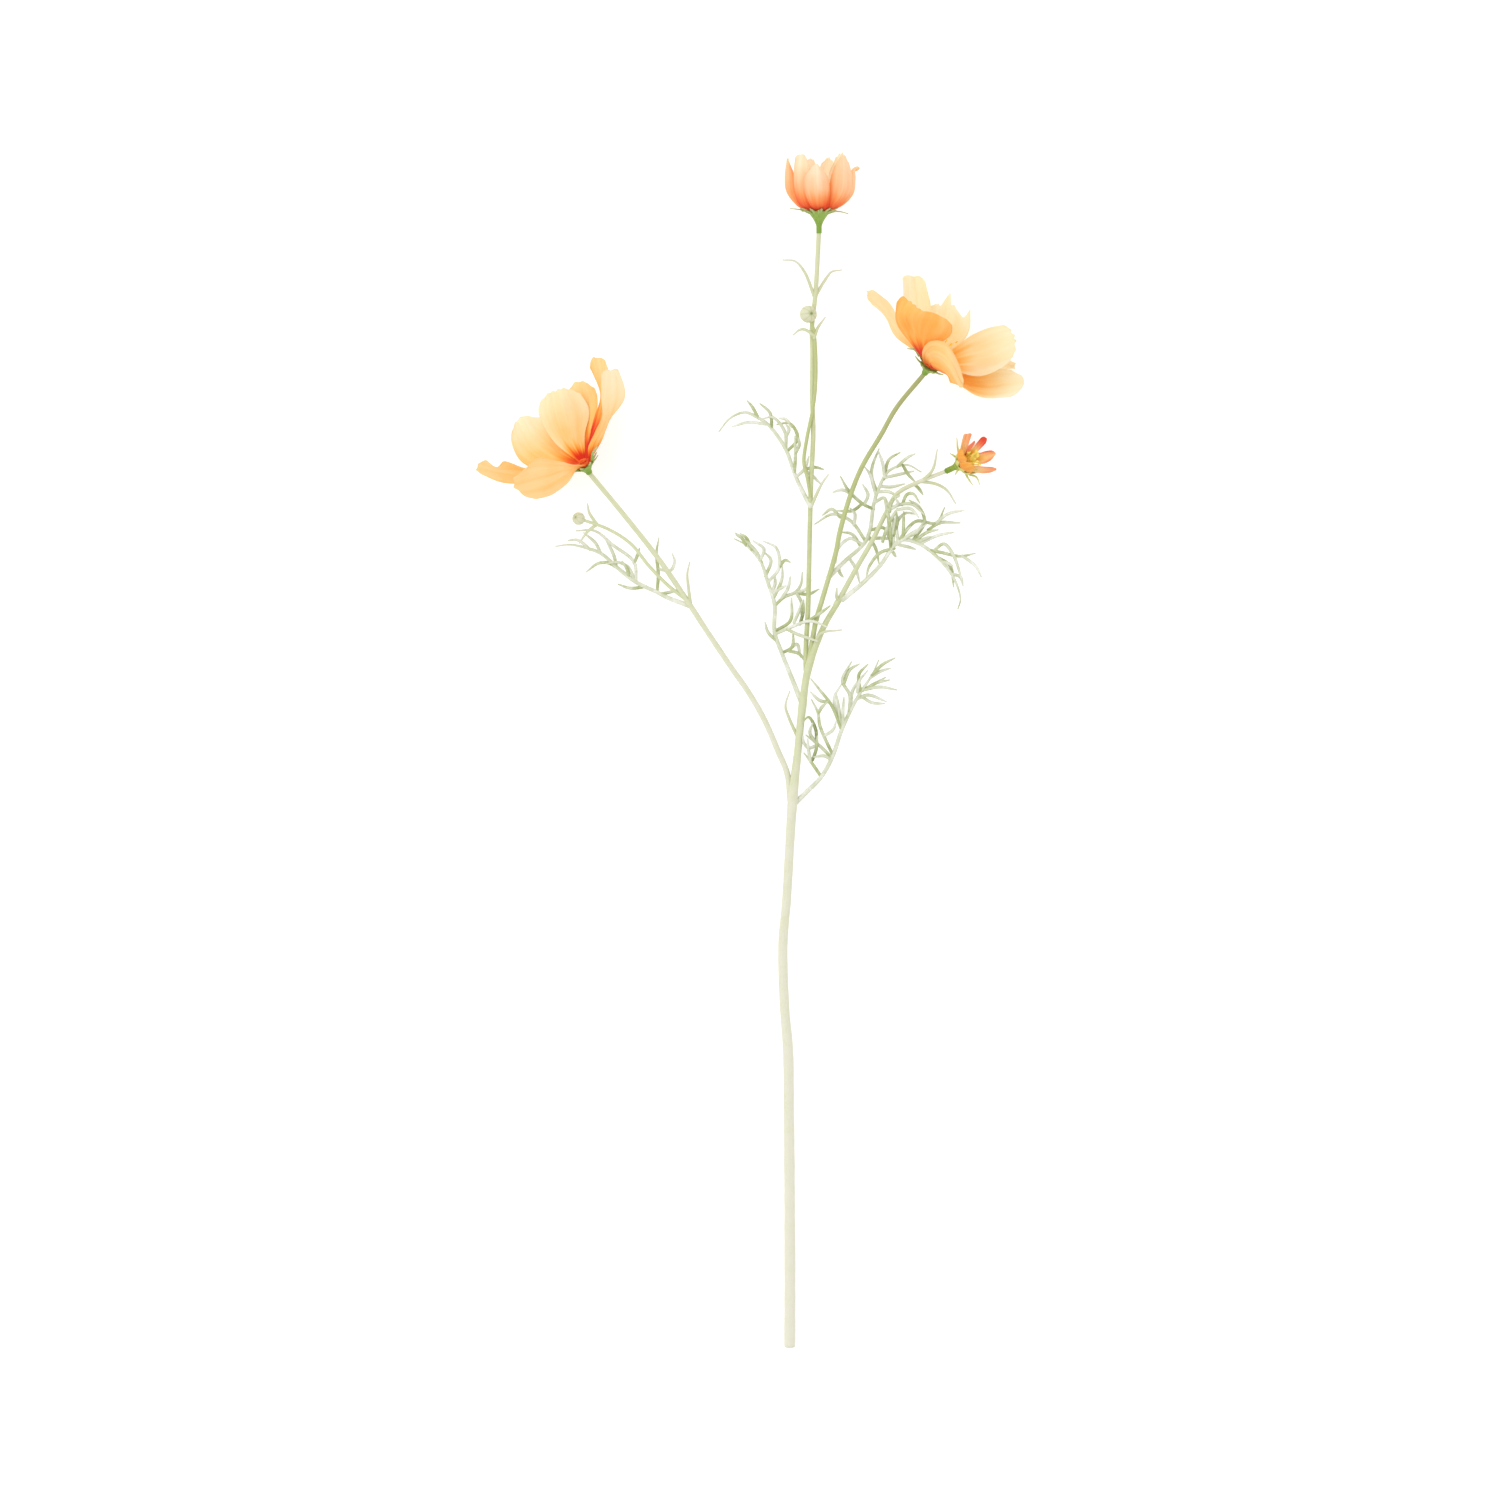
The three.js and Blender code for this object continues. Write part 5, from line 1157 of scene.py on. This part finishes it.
def strand_rod(one, places, number):
    """One strand; the first is the pale midrib with its wide foot, and the others vary in green."""
    radius = one["wide"] * SCALE / 2
    radii = [radius * share for share in STRAND_RADII] + [TWIG_TIP / 2]
    fresh = varied(STRAND_GREEN, number) + one["deep"]
    tone = (fresh, fresh * TIP_GREEN)
    if number == 0:
        radii[0] = radius * RIB_FOOT
        tone = RIB_GREEN
    steps = STRAND_STEPS * (len(places) - 1)
    return rod(places, radii, STRAND_SIDES, steps, tone, flat=STRAND_FLAT)


def frond_parts(leaf):
    """Strands that each start at the height of the strand that they grow from."""
    reach, heights = zip(*leaf["heights"])
    root = at(*leaf["strands"][0]["route"][0])
    grown = []
    parts = []
    for number, one in enumerate(leaf["strands"]):
        places = np.array([at(x, y) for x, y in one["route"]])
        ground = np.interp(np.linalg.norm((places - root)[:, :2], axis=1), reach, heights)
        start = ground[0]
        if grown:
            known = np.concatenate(grown)
            nearest = np.argmin(np.linalg.norm((known - places[0])[:, :2], axis=1))
            start = known[nearest][2]
        last = len(places) - 1
        lift = one["lift"] * (np.arange(last + 1) / last) ** LIFT_EASE
        places[:, 2] = ground + start - ground[0] + lift
        grown.append(run_of(places, np.linspace(0, 1, GROWN_STEPS * last + 1)))
        parts.append(strand_rod(one, places, number))
    return parts


# ---- Flower heads ----


def head_frame(head):
    """The way a flower looks, its two directions square to that, and the place of its neck."""
    angle = math.radians(head["angle"])
    tilt = math.radians(head["tilt"])
    level = math.cos(tilt)
    axis = np.array([math.cos(angle) * level, math.sin(angle) * level, math.sin(tilt)])
    side = -unit(np.cross([0.0, 0.0, 1.0], axis))
    front = -np.cross(side, axis)
    return axis, side, front, at(*head["neck"], head["height"])


def head_points(head, radius, rise, turn):
    """Points of a flower from radius, rise above the neck and turn round the axis in radians."""
    axis, side, front, neck = head_frame(head)
    radius, rise, turn = np.broadcast_arrays(radius, rise, turn)
    return (
        neck
        + rise[..., None] * axis
        + (radius * np.cos(turn))[..., None] * side
        + (radius * np.sin(turn))[..., None] * front
    )


def turned(head, radius, rise, tone, ribs=NO_RIBS, sides=TURNED_SIDES):
    """A round part turned about a flower's axis, from its radius at each rise."""
    turn = full_turn(sides)
    swell = ribbed(turn, ribs)
    points = head_points(head, radius[:, None] * swell[None, :], rise[:, None], turn[None, :])
    tones = np.repeat(np.broadcast_to(tone, len(radius))[:, None], sides, axis=1)
    layout = round_layout(turn, np.linspace(0, 1, len(radius)))
    return part(points, grid_faces(len(radius), sides, closed=True), layout, tones)


def blade_grid(rows, columns):
    """Places along a blade, from 0 to 1, and across it, from -1 to 1."""
    return crossed(np.linspace(0, 1, rows + 1), np.linspace(-1, 1, columns + 1))


def folds_of(along, across, phase):
    """Soft lengthwise pleats, from -1 in a valley to 1 on a ridge, with finer creases on them."""
    broad = np.sin(across * PLEAT_PACE + phase + PLEAT_SWAY * np.sin(along * 3 + phase))
    narrow = np.sin(across * CREASE_PACE + 2.1 * phase + CREASE_LEAN * along)
    return (broad + CREASE_SHARE * narrow) / (1 + CREASE_SHARE) * smooth(along, *FOLDS_START)


def shade_of(look, along, across, phase, flames):
    """How deep the colour is at each point of a petal, with a blush that ends in flames, painted shade
    and highlight on the pleats, and edge tones that are partly painted shade in the creases.
    """
    uneven = sum(depth * np.sin(across * pace + shift * phase) for depth, pace, shift in FLAMES)
    reach = look["reach"] * (1 + flames * uneven)
    tone = look["body"] + (look["tip"] - look["body"]) * smooth(along, TIP_FADE, 1)
    tone = tone + look["blush"] * (1 - smooth(along, BLUSH_START, reach))
    # Edge tones: partly the cloth's own deeper or paler margins, partly painted shade where petals
    # meet
    edge = np.where(across < 0, look["left"], look["right"]) * np.abs(across) ** EDGE_CURVE
    # Painted shade in the pleats' valleys and painted highlight on their ridges, taken from the fold
    # height
    tone = tone + edge * (1 - EDGE_FADE * along) - PAINTED_FOLD_SHADE * folds_of(along, across, phase)
    return np.clip(tone, 0, 1)


def tip_cut(look, across, phase):
    """How far the tip is cut back at each place across it, as a share of the petal's length."""
    if look["line"]:
        return np.interp(across, *zip(*look["line"]))
    depth, count = look["teeth"]
    return depth * (0.5 - 0.5 * np.cos(across * math.pi * count + phase))


def crumpled(points, along, across, phase, blade):
    """Adds the pleats and a gently waved rim to a petal's surface."""
    sides = np.sin(along * SIDE_WAVE_PACE + phase * 1.7) * np.abs(across) ** 3
    end = np.sin(across * TIP_WAVE_PACE + phase) * along**6
    height = blade["pleat"] * folds_of(along, across, phase)
    height = height + blade["wave"] * (sides + end) * smooth(along, *FOLDS_START)
    return points + height[..., None] * surface_normals(points)


def petal_part(head, one, blade, phase):
    """One petal, spread across its three rails from the seat's rim to its tip."""
    along, across = blade_grid(*blade["grid"])
    axis, _, _, neck = head_frame(head)
    throat = neck + axis * head["throat"]
    left, middle, right = one["rails"]
    outward = at(*middle[0]) - throat
    outward = unit(outward - axis * np.dot(outward, axis))
    start = throat + outward * blade["rim"]
    edgeway = np.cross(axis, outward)
    turn = np.sign(np.dot(edgeway, at(*right[0]) - at(*left[0])))
    root = (one["claw"] or blade["claw"]) * turn
    cut = tip_cut(one["look"], across, phase) * smooth(along, CUT_START, 1)
    reach = along * (1 - TIP_ROUND * across**4 - cut)
    shares = (across * (across - 1) / 2, 1 - across**2, across * (across + 1) / 2)
    points = 0
    for rail, offset, share in zip(one["rails"], (-root, 0, root), shares):
        line = [start + edgeway * offset] + [at(*place) for place in rail]
        points = points + run_of(line, reach) * share[..., None]
    points = crumpled(points, along, across, phase, blade)
    thick = blade["thick"] * (1 - RIM_THIN * np.maximum(np.abs(across), along) ** 8)
    tone = shade_of(one["look"], along, across, phase, blade["flames"])
    return sheet(points, thick, along, across, tone)


def seat_part(head, rim):
    """The small round seat that holds the petals together under the disc."""
    radius, rise = np.array(SEAT_PROFILE).T
    return turned(head, radius * rim, head["throat"] + rise * SEAT_THICK, tone=SEAT_TONE)


def petal_parts(head, petals, blade):
    parts = [seat_part(head, blade["rim"] + SEAT_EDGE)]
    for number, one in enumerate(petals.values()):
        parts.append(petal_part(head, one, blade, phase=number * PHASE_STEP))
    return parts


# ---- Cups and bracts ----


def bract_width(wide, along):
    """Width along a bract, which is broadest near a third of its length and ends in a point."""
    return wide * (BRACT_FOOT + BRACT_WIDEN * along) * (1 - along) ** BRACT_POINT + BRACT_TIP


def bract_part(head, ring, number):
    """A pointed green leaf of the ring under the petals."""
    along, across = blade_grid(*RING_BRACT_GRID)
    turn = 2 * math.pi * (number + ring["start"]) / ring["count"]
    longer = varied(BRACT_LONG, number)
    droop = 0
    if "lengths" in ring:
        longer, droop = ring["lengths"][number], ring["droops"][number]
    line = run_of([(radius, rise, 0) for radius, rise in ring["line"]], along * longer)
    line[..., 1] = line[..., 1] - droop * along**2
    width = bract_width(ring["wide"], along)
    dish = BRACT_DISH * (across**2) * width
    sway = varied(BRACT_SWAY, number) * along
    turns = turn + across * width / 2 / line[..., 0] + sway
    points = head_points(head, line[..., 0], line[..., 1] + dish, turns)
    return sheet(points, BRACT_THICK, along, across, RING_BRACT_TONE + BRACT_FADE * along)


def bract_ring(head, ring):
    return [bract_part(head, ring, number) for number in range(ring["count"])]


def loose_bract_part(route, wide):
    """A thin pointed leaf that follows a route of its own, with its flat side up."""
    along, across = blade_grid(*LOOSE_BRACT_GRID)
    line = run_of([at(*place) for place in route], along[:, 0])
    heading = unit(np.gradient(line, axis=0))
    sideways = unit(np.cross(heading, [0.0, 0.0, 1.0]))
    width = bract_width(wide, along)
    points = line[:, None, :] + (across * width / 2)[..., None] * sideways[:, None, :]
    points[..., 2] = points[..., 2] + BRACT_DISH * across**2 * width
    return sheet(points, BRACT_THICK, along, across, LOOSE_BRACT_TONE + BRACT_FADE * along)


def cup_part(head, profile):
    """The green cup or sleeve of a flower, from its radius at each rise above the neck."""
    line = run_of([(radius, rise, 0) for radius, rise in profile], np.linspace(0, 1, CUP_STEPS))
    radius = np.concatenate([[POLE_RADIUS], line[:, 0], [POLE_RADIUS]])
    rise = np.concatenate([[line[0, 1]], line[:, 1], [line[-1, 1]]])
    tone = np.interp(rise, [rise[0], rise[-1]], CUP_TONES)
    return turned(head, radius, rise, tone, ribs=CUP_RIBS)


# ---- Discs ----


def dome_part(head, disc, low):
    """The dome that the florets are packed on."""
    lift = np.linspace(0, math.pi / 2, DOME_RINGS)
    radius = disc["radius"] * np.cos(lift) * DOME_RADIUS + DOME_TIP
    rise = low + disc["height"] * DOME_HEIGHT * np.sin(lift)
    radius, rise = np.insert(radius, 0, POLE_RADIUS), np.insert(rise, 0, low)
    return turned(head, radius, rise, disc["core"], sides=DOME_SIDES)


def floret_part(head, disc, low, number):
    """A small floret, one of those that wind outwards over the dome."""
    share = (number + 0.5) / disc["florets"]
    polar = math.acos(1 - share * FLORET_SPREAD)
    reach = np.array([FLORET_FOOT, FLORET_THROAT, varied(FLORET_MOUTH, number)])
    radius = disc["radius"] * math.sin(polar) * reach
    rise = low + disc["height"] * math.cos(polar) * reach
    path = head_points(head, radius, rise, number * GOLDEN_TURN)
    tone = (disc["core"] - 0.05, 0.1 + 0.2 * share)
    return rod(path, FLORET_RADII, FLORET_SIDES, FLORET_STEPS, tone)


def stamen_parts(head, disc, low, number):
    """A stamen: a fine thread that leans outwards and the anther at its end."""
    turn = number * GOLDEN_TURN * STAMEN_TURN + STAMEN_START
    tall = disc["length"] * varied(STAMEN_HEIGHT, number)
    wide = disc["radius"] * varied(STAMEN_REACH, number)
    spread = np.array([wide * 0.7, wide, wide * 1.15 + 0.12 * tall])
    rise = np.array([low + disc["height"] * 0.4, low + tall * 0.6, low + tall])
    path = head_points(head, spread, rise, turn + np.array([0, 0.05, 0.12]))
    thread = rod(path, THREAD_RADII, THREAD_SIDES, THREAD_STEPS, THREAD_TONE)
    heading = unit(path[2] - path[1])
    places = [path[2] + heading * step for step in ANTHER_PLACES]
    tone = (disc["core"] - 0.45, disc["core"] - 0.3)
    return [thread, rod(places, ANTHER_RADII, ANTHER_SIDES, ANTHER_STEPS, tone)]


def disc_parts(head, disc):
    """The floret disc: a dome packed with small florets, with stamens standing between them."""
    low = head["throat"] + SEAT_THICK / 2
    parts = [dome_part(head, disc, low)]
    for number in range(disc["florets"]):
        parts.append(floret_part(head, disc, low, number))
    for number in range(disc["stamens"]):
        parts += stamen_parts(head, disc, low, number)
    return parts


# ---- Materials ----

NUMBER = "NodeSocketFloat"


def colour(red, green, blue):
    """Linear colour from the 0 to 255 values of a painted swatch."""
    swatch = np.array([red, green, blue]) / 255
    linear = np.where(swatch <= 0.04045, swatch / 12.92, ((swatch + 0.055) / 1.055) ** 2.4)
    return (*linear.tolist(), 1.0)


def feed(tree, node, values):
    """Sets inputs of a node to numbers or colours, or links them to other nodes' outputs."""
    for label, value in values.items():
        if isinstance(value, bpy.types.NodeSocket):
            tree.links.new(value, node.inputs[label])
        else:
            node.inputs[label].default_value = value


def worked_out(tree, operation, first, second):
    """Works out a sum on two values, each a number or another node's output."""
    node = tree.nodes.new("ShaderNodeMath")
    node.operation = operation
    feed(tree, node, {0: first, 1: second})
    return node.outputs[0]


def total(tree, first, *others):
    for other in others:
        first = worked_out(tree, "ADD", first, other)
    return first


def colour_scale(tree, value, stops):
    """Colour that runs through painted swatches as a value goes from 0 to 1."""
    node = tree.nodes.new("ShaderNodeValToRGB")
    band = node.color_ramp
    band.interpolation = "B_SPLINE" if len(stops) > 4 else "EASE"
    while len(band.elements) < len(stops):
        band.elements.new(0.5)
    for element, (place, _) in zip(band.elements, stops):
        element.position = place
    for element, (_, swatch) in zip(band.elements, stops):
        element.color = colour(*swatch)
    feed(tree, node, {"Fac": value})
    return node.outputs["Color"]


def new_group(name, inputs, outputs):
    """An effect that several finishes share, with its named inputs and their usual values."""
    group = bpy.data.node_groups.new(name, "ShaderNodeTree")
    for label, start in inputs.items():
        socket = group.interface.new_socket(name=label, in_out="INPUT", socket_type=NUMBER)
        socket.default_value = start
    for label in outputs:
        group.interface.new_socket(name=label, in_out="OUTPUT", socket_type=NUMBER)
    return group, group.nodes.new("NodeGroupInput"), group.nodes.new("NodeGroupOutput")


def flat_layout(tree, across, along):
    """The piece's flat layout, stretched across and along."""
    place = tree.nodes.new("ShaderNodeUVMap")
    place.uv_map = "layout"
    split = tree.nodes.new("ShaderNodeSeparateXYZ")
    feed(tree, split, {0: place.outputs["UV"]})
    join = tree.nodes.new("ShaderNodeCombineXYZ")
    feed(tree, join, {"X": worked_out(tree, "MULTIPLY", split.outputs["X"], across)})
    feed(tree, join, {"Y": worked_out(tree, "MULTIPLY", split.outputs["Y"], along)})
    return join.outputs[0]


def round_zero(tree, noise, spread):
    """Moves a noise to a value round 0 that is as strong as its spread."""
    centred = worked_out(tree, "SUBTRACT", noise.outputs["Fac"], 0.5)
    return worked_out(tree, "MULTIPLY", centred, spread)


def mottle_group():
    """Soft uneven colour with so many patches to the metre: a value round 0."""
    group, ins, outs = new_group("soft_mottle", {"Patches": 200, "Spread": 0.1}, ["Value"])
    place = group.nodes.new("ShaderNodeTexCoord").outputs["Object"]
    noise = group.nodes.new("ShaderNodeTexNoise")
    feed(group, noise, {"Vector": place, "Scale": ins.outputs["Patches"]})
    feed(group, noise, {"Detail": 3, "Roughness": 0.55})
    feed(group, outs, {"Value": round_zero(group, noise, ins.outputs["Spread"])})
    return group


def streak_group():
    """Fine lines that run along a blade or stem: a value round 0 and a height for relief."""
    inputs = {"Lines": 30, "Stretch": 1.5, "Spread": 0.1}
    group, ins, outs = new_group("long_streaks", inputs, ["Value", "Height"])
    place = flat_layout(group, ins.outputs["Lines"], ins.outputs["Stretch"])
    noise = group.nodes.new("ShaderNodeTexNoise")
    feed(group, noise, {"Vector": place, "Scale": 1, "Detail": 2})
    value = round_zero(group, noise, ins.outputs["Spread"])
    feed(group, outs, {"Value": value, "Height": noise.outputs["Fac"]})
    return group


def grain_group():
    """Small even grain, so many to the metre, such as a cloth's threads or a dusty skin."""
    group, ins, outs = new_group("fine_grain", {"Grains": 1500}, ["Height"])
    place = group.nodes.new("ShaderNodeTexCoord").outputs["Object"]
    grain = group.nodes.new("ShaderNodeTexVoronoi")
    feed(group, grain, {"Vector": place, "Scale": ins.outputs["Grains"]})
    feed(group, outs, {"Height": grain.outputs["Distance"]})
    return group


MOTTLE = mottle_group()
STREAKS = streak_group()
GRAIN = grain_group()


def effect(tree, group, **values):
    """Places a shared effect in a material with the material's own values."""
    node = tree.nodes.new("ShaderNodeGroup")
    node.node_tree = group
    feed(tree, node, values)
    return node.outputs


def relief(tree, streaks, grain):
    """Surface relief of streaks, with fine grains and their depth in metres on top."""
    grains, depth = grain
    fine = effect(tree, GRAIN, Grains=grains)
    under = tree.nodes.new("ShaderNodeBump")
    feed(tree, under, {"Strength": 1, "Distance": STREAK_DEPTH, "Height": streaks["Height"]})
    over = tree.nodes.new("ShaderNodeBump")
    feed(tree, over, {"Strength": 1, "Distance": depth, "Height": fine["Height"]})
    feed(tree, over, {"Normal": under.outputs["Normal"]})
    return over.outputs["Normal"]


def tone_of(tree):
    """The tone that each point of a piece carries."""
    node = tree.nodes.new("ShaderNodeAttribute")
    node.attribute_name = "tone"
    return node.outputs["Fac"]


def start_material(name):
    made = bpy.data.materials.new(name)
    made.use_nodes = True
    tree = made.node_tree
    tree.nodes.clear()
    skin = tree.nodes.new("ShaderNodeBsdfPrincipled")
    return made, tree, skin, tree.nodes.new("ShaderNodeOutputMaterial")


def petal_cloth(name, stops, veins, spread, glow):
    """Thin petal cloth: colour by tone, with veins, soft blotches and light that shines through."""
    made, tree, skin, output = start_material(name)
    streaks = effect(tree, STREAKS, Lines=veins, Stretch=VEIN_STRETCH, Spread=spread)
    lines, wider = veins * BROAD_SHARE, spread * BROAD_GAIN
    broad = effect(tree, STREAKS, Lines=lines, Stretch=BROAD_STRETCH, Spread=wider)
    mottle = effect(tree, MOTTLE, Patches=CLOTH_PATCHES, Spread=spread * CLOTH_PATCH_GAIN)
    value = total(tree, tone_of(tree), streaks["Value"], broad["Value"], mottle["Value"])
    paint = colour_scale(tree, value, stops)
    normal = relief(tree, streaks, CLOTH_GRAIN)
    feed(tree, skin, {"Base Color": paint, "Normal": normal})
    feed(tree, skin, {"Roughness": total(tree, mottle["Value"], CLOTH_ROUGHNESS)})
    feed(tree, skin, {"Specular IOR Level": CLOTH_SHINE})
    feed(tree, skin, {"Sheen Weight": CLOTH_SHEEN, "Sheen Roughness": SHEEN_SPREAD})
    through = tree.nodes.new("ShaderNodeBsdfTranslucent")
    feed(tree, through, {"Color": paint, "Normal": normal})
    mixed = tree.nodes.new("ShaderNodeMixShader")
    feed(tree, mixed, {"Fac": glow, 1: skin.outputs[0], 2: through.outputs[0]})
    feed(tree, output, {"Surface": mixed.outputs[0]})
    return made


def matt_skin(name, stops, lines, spread, grain, rough):
    """Matt skin of a stem, leaf, bud, cup or floret: colour by tone, with streaks and a fine grain."""
    made, tree, skin, output = start_material(name)
    streaks = effect(tree, STREAKS, Lines=lines, Stretch=SKIN_STRETCH, Spread=spread)
    mottle = effect(tree, MOTTLE, Patches=SKIN_PATCHES, Spread=spread * SKIN_PATCH_GAIN)
    specks = effect(tree, MOTTLE, Patches=SKIN_SPECKS, Spread=spread)
    value = total(tree, tone_of(tree), streaks["Value"], mottle["Value"], specks["Value"])
    feed(tree, skin, {"Base Color": colour_scale(tree, value, stops)})
    feed(tree, skin, {"Roughness": total(tree, mottle["Value"], rough)})
    feed(tree, skin, {"Normal": relief(tree, streaks, grain)})
    feed(tree, skin, {"Specular IOR Level": SKIN_SHINE})
    feed(tree, output, {"Surface": skin.outputs[0]})
    return made


def bloom_petal_cloth():
    return petal_cloth("bloom_petal_cloth", BLOOM_STOPS, veins=22, spread=0.1, glow=0.34)


def half_open_petal_cloth():
    return petal_cloth("half_open_petal_cloth", TOP_STOPS, veins=15, spread=0.17, glow=0.5)


def daisy_petal_cloth():
    return petal_cloth("daisy_petal_cloth", DAISY_STOPS, veins=9, spread=0.09, glow=0.25)


def stem_skin():
    return matt_skin("stem_skin", STEM_STOPS, 22, 0.16, STEM_GRAIN, rough=0.72)


def leaf_skin():
    return matt_skin("leaf_skin", LEAF_STOPS, 8, 0.5, LEAF_GRAIN, rough=0.75)


def bud_skin():
    return matt_skin("bud_skin", BUD_STOPS, 24, 0.3, STEM_GRAIN, rough=0.7)


def calyx_skin():
    return matt_skin("calyx_skin", CALYX_STOPS, 26, 0.42, CALYX_GRAIN, rough=0.6)


def daisy_calyx_skin():
    return matt_skin("daisy_calyx_skin", DAISY_CALYX_STOPS, 26, 0.3, CALYX_GRAIN, rough=0.6)


def floret_skin():
    return matt_skin("floret_skin", DISC_STOPS, 12, 0.3, FLORET_GRAIN, rough=0.75)


def red_floret_skin():
    return matt_skin("red_floret_skin", RED_DISC_STOPS, 12, 0.3, FLORET_GRAIN, rough=0.75)


def table_top():
    made, tree, skin, output = start_material("pale_table_top")
    mottle = effect(tree, MOTTLE, Patches=4, Spread=0.01)
    top = colour_scale(tree, total(tree, mottle["Value"], 0.5), TABLE_STOPS)
    feed(tree, skin, {"Base Color": top, "Emission Color": top, "Emission Strength": TABLE_GLOW})
    feed(tree, skin, {"Roughness": 0.9, "Specular IOR Level": 0})
    feed(tree, output, {"Surface": skin.outputs[0]})
    return made


# ---- Table, light and camera ----


def pale_table():
    """A plain pale surface under the spray."""
    mesh = bpy.data.meshes.new("pale_table")
    reach = TABLE_REACH
    corners = [(-reach, -reach), (reach, -reach), (reach, reach), (-reach, reach)]
    mesh.from_pydata([(x, y, -TABLE_DROP) for x, y in corners], [], [(0, 1, 2, 3)])
    mesh.materials.append(table_top())
    put_in_scene("pale_table", mesh)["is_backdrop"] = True


def studio_light():
    """White surroundings and one large soft lamp at the upper left."""
    world = bpy.data.worlds.new("white_room")
    world.use_nodes = True
    room = world.node_tree.nodes["Background"]
    feed(world.node_tree, room, {"Color": (1, 1, 1, 1), "Strength": ROOM_LIGHT})
    bpy.context.scene.world = world
    lamp = bpy.data.lights.new("soft_lamp", "AREA")
    lamp.shape = "DISK"
    lamp.size = LAMP_SIZE
    lamp.energy = LAMP_POWER
    holder = put_in_scene("soft_lamp", lamp)
    holder.location = LAMP_PLACE
    holder.rotation_euler = (math.radians(LAMP_LEAN), math.radians(LAMP_LEAN), 0)


def picture_camera():
    """Looks straight down at the middle of the picture."""
    eye = bpy.data.cameras.new("picture_camera")
    eye.lens = LENS
    eye.sensor_width = SENSOR
    eye.clip_end = FARTHEST
    holder = put_in_scene("picture_camera", eye)
    distance = LENS / SENSOR * PICTURE_WIDTH * SCALE
    aim = (at(*PICTURE_MIDDLE) + ORIGIN) * MM
    holder.location = (aim[0], aim[1], (distance + SIGHT_HEIGHT) * MM)
    bpy.context.scene.camera = holder
    bpy.context.scene.view_settings.view_transform = "Standard"


# ---- The spray ----


def spray_origin():
    """Where the spray's own frame starts, found from the middle of the left bud's solid."""
    low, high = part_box("left_bud")
    middle = np.array((low + high) / 2) / MM
    return middle - at(*LEFT_BUD["centre"], LEFT_BUD["height"])


ORIGIN = spray_origin()


def stem_and_leaves():
    make_piece("branching_stem", "stem", stem_parts(), stem_skin())
    skin = bud_skin()
    make_piece("round_centre_bud", "centre_bud", [bud_part(CENTRE_BUD)], skin)
    make_piece("round_left_bud", "left_bud", [bud_part(LEFT_BUD)], skin)
    skin = leaf_skin()
    for name, leaf in FRONDS.items():
        make_piece(f"feathery_{name}", name, frond_parts(leaf), skin)


def wide_blooms():
    cloth, green = bloom_petal_cloth(), calyx_skin()
    blooms = [
        ("left_bloom", LEFT_HEAD, LEFT_PETALS, LEFT_BRACT),
        ("right_bloom", RIGHT_HEAD, RIGHT_PETALS, RIGHT_BRACT),
    ]
    for name, head, petals, loose in blooms:
        blades = petal_parts(head, petals, BLOOM_BLADE)
        make_piece(f"{name}_blades", f"{name}_petals", blades, cloth)
        cup = [cup_part(head, FUNNEL)] + bract_ring(head, BLOOM_BRACTS)
        cup.append(loose_bract_part(loose, LOOSE_BRACT_WIDTH))
        make_piece(f"{name}_cup", f"{name}_calyx", cup, green)
    tuft = disc_parts(LEFT_HEAD, LEFT_DISC)
    make_piece("left_bloom_tuft", "left_bloom_disc", tuft, red_floret_skin())
    tuft = disc_parts(RIGHT_HEAD, RIGHT_DISC)
    make_piece("right_bloom_tuft", "right_bloom_disc", tuft, floret_skin())


def half_open_flower():
    blades = petal_parts(TOP_HEAD, TOP_PETALS, TOP_BLADE)
    cloth = half_open_petal_cloth()
    make_piece("top_flower_blades", "top_flower_petals", blades, cloth)
    cup = [cup_part(TOP_HEAD, SLEEVE)]
    cup += bract_ring(TOP_HEAD, TOP_BRACTS) + bract_ring(TOP_HEAD, TOP_SCALES)
    make_piece("top_flower_cup", "top_flower_calyx", cup, calyx_skin())
    tuft = disc_parts(TOP_HEAD, TOP_DISC)
    make_piece("top_flower_tuft", "top_flower_disc", tuft, floret_skin())


def daisy():
    blades = petal_parts(DAISY_HEAD, DAISY_PETALS, DAISY_BLADE)
    make_piece("daisy_blades", "daisy_petals", blades, daisy_petal_cloth())
    cup = [cup_part(DAISY_HEAD, DAISY_CUP)] + bract_ring(DAISY_HEAD, DAISY_SCALES)
    cup += [loose_bract_part(route, DAISY_BRACT_WIDTH) for route in DAISY_BRACTS]
    make_piece("daisy_cup", "daisy_calyx", cup, daisy_calyx_skin())
    tuft = disc_parts(DAISY_HEAD, DAISY_DISC)
    make_piece("daisy_tuft", "daisy_disc", tuft, floret_skin())


def keep_sizes():
    """Works out the box of the solids and the box of the finished spray."""
    sizes = dict(solids=[list(corner) for corner in solid_box])
    sizes["scene"] = [list(corner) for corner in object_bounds()]


pale_table()
studio_light()
picture_camera()
stem_and_leaves()
wide_blooms()
half_open_flower()
daisy()
keep_sizes()
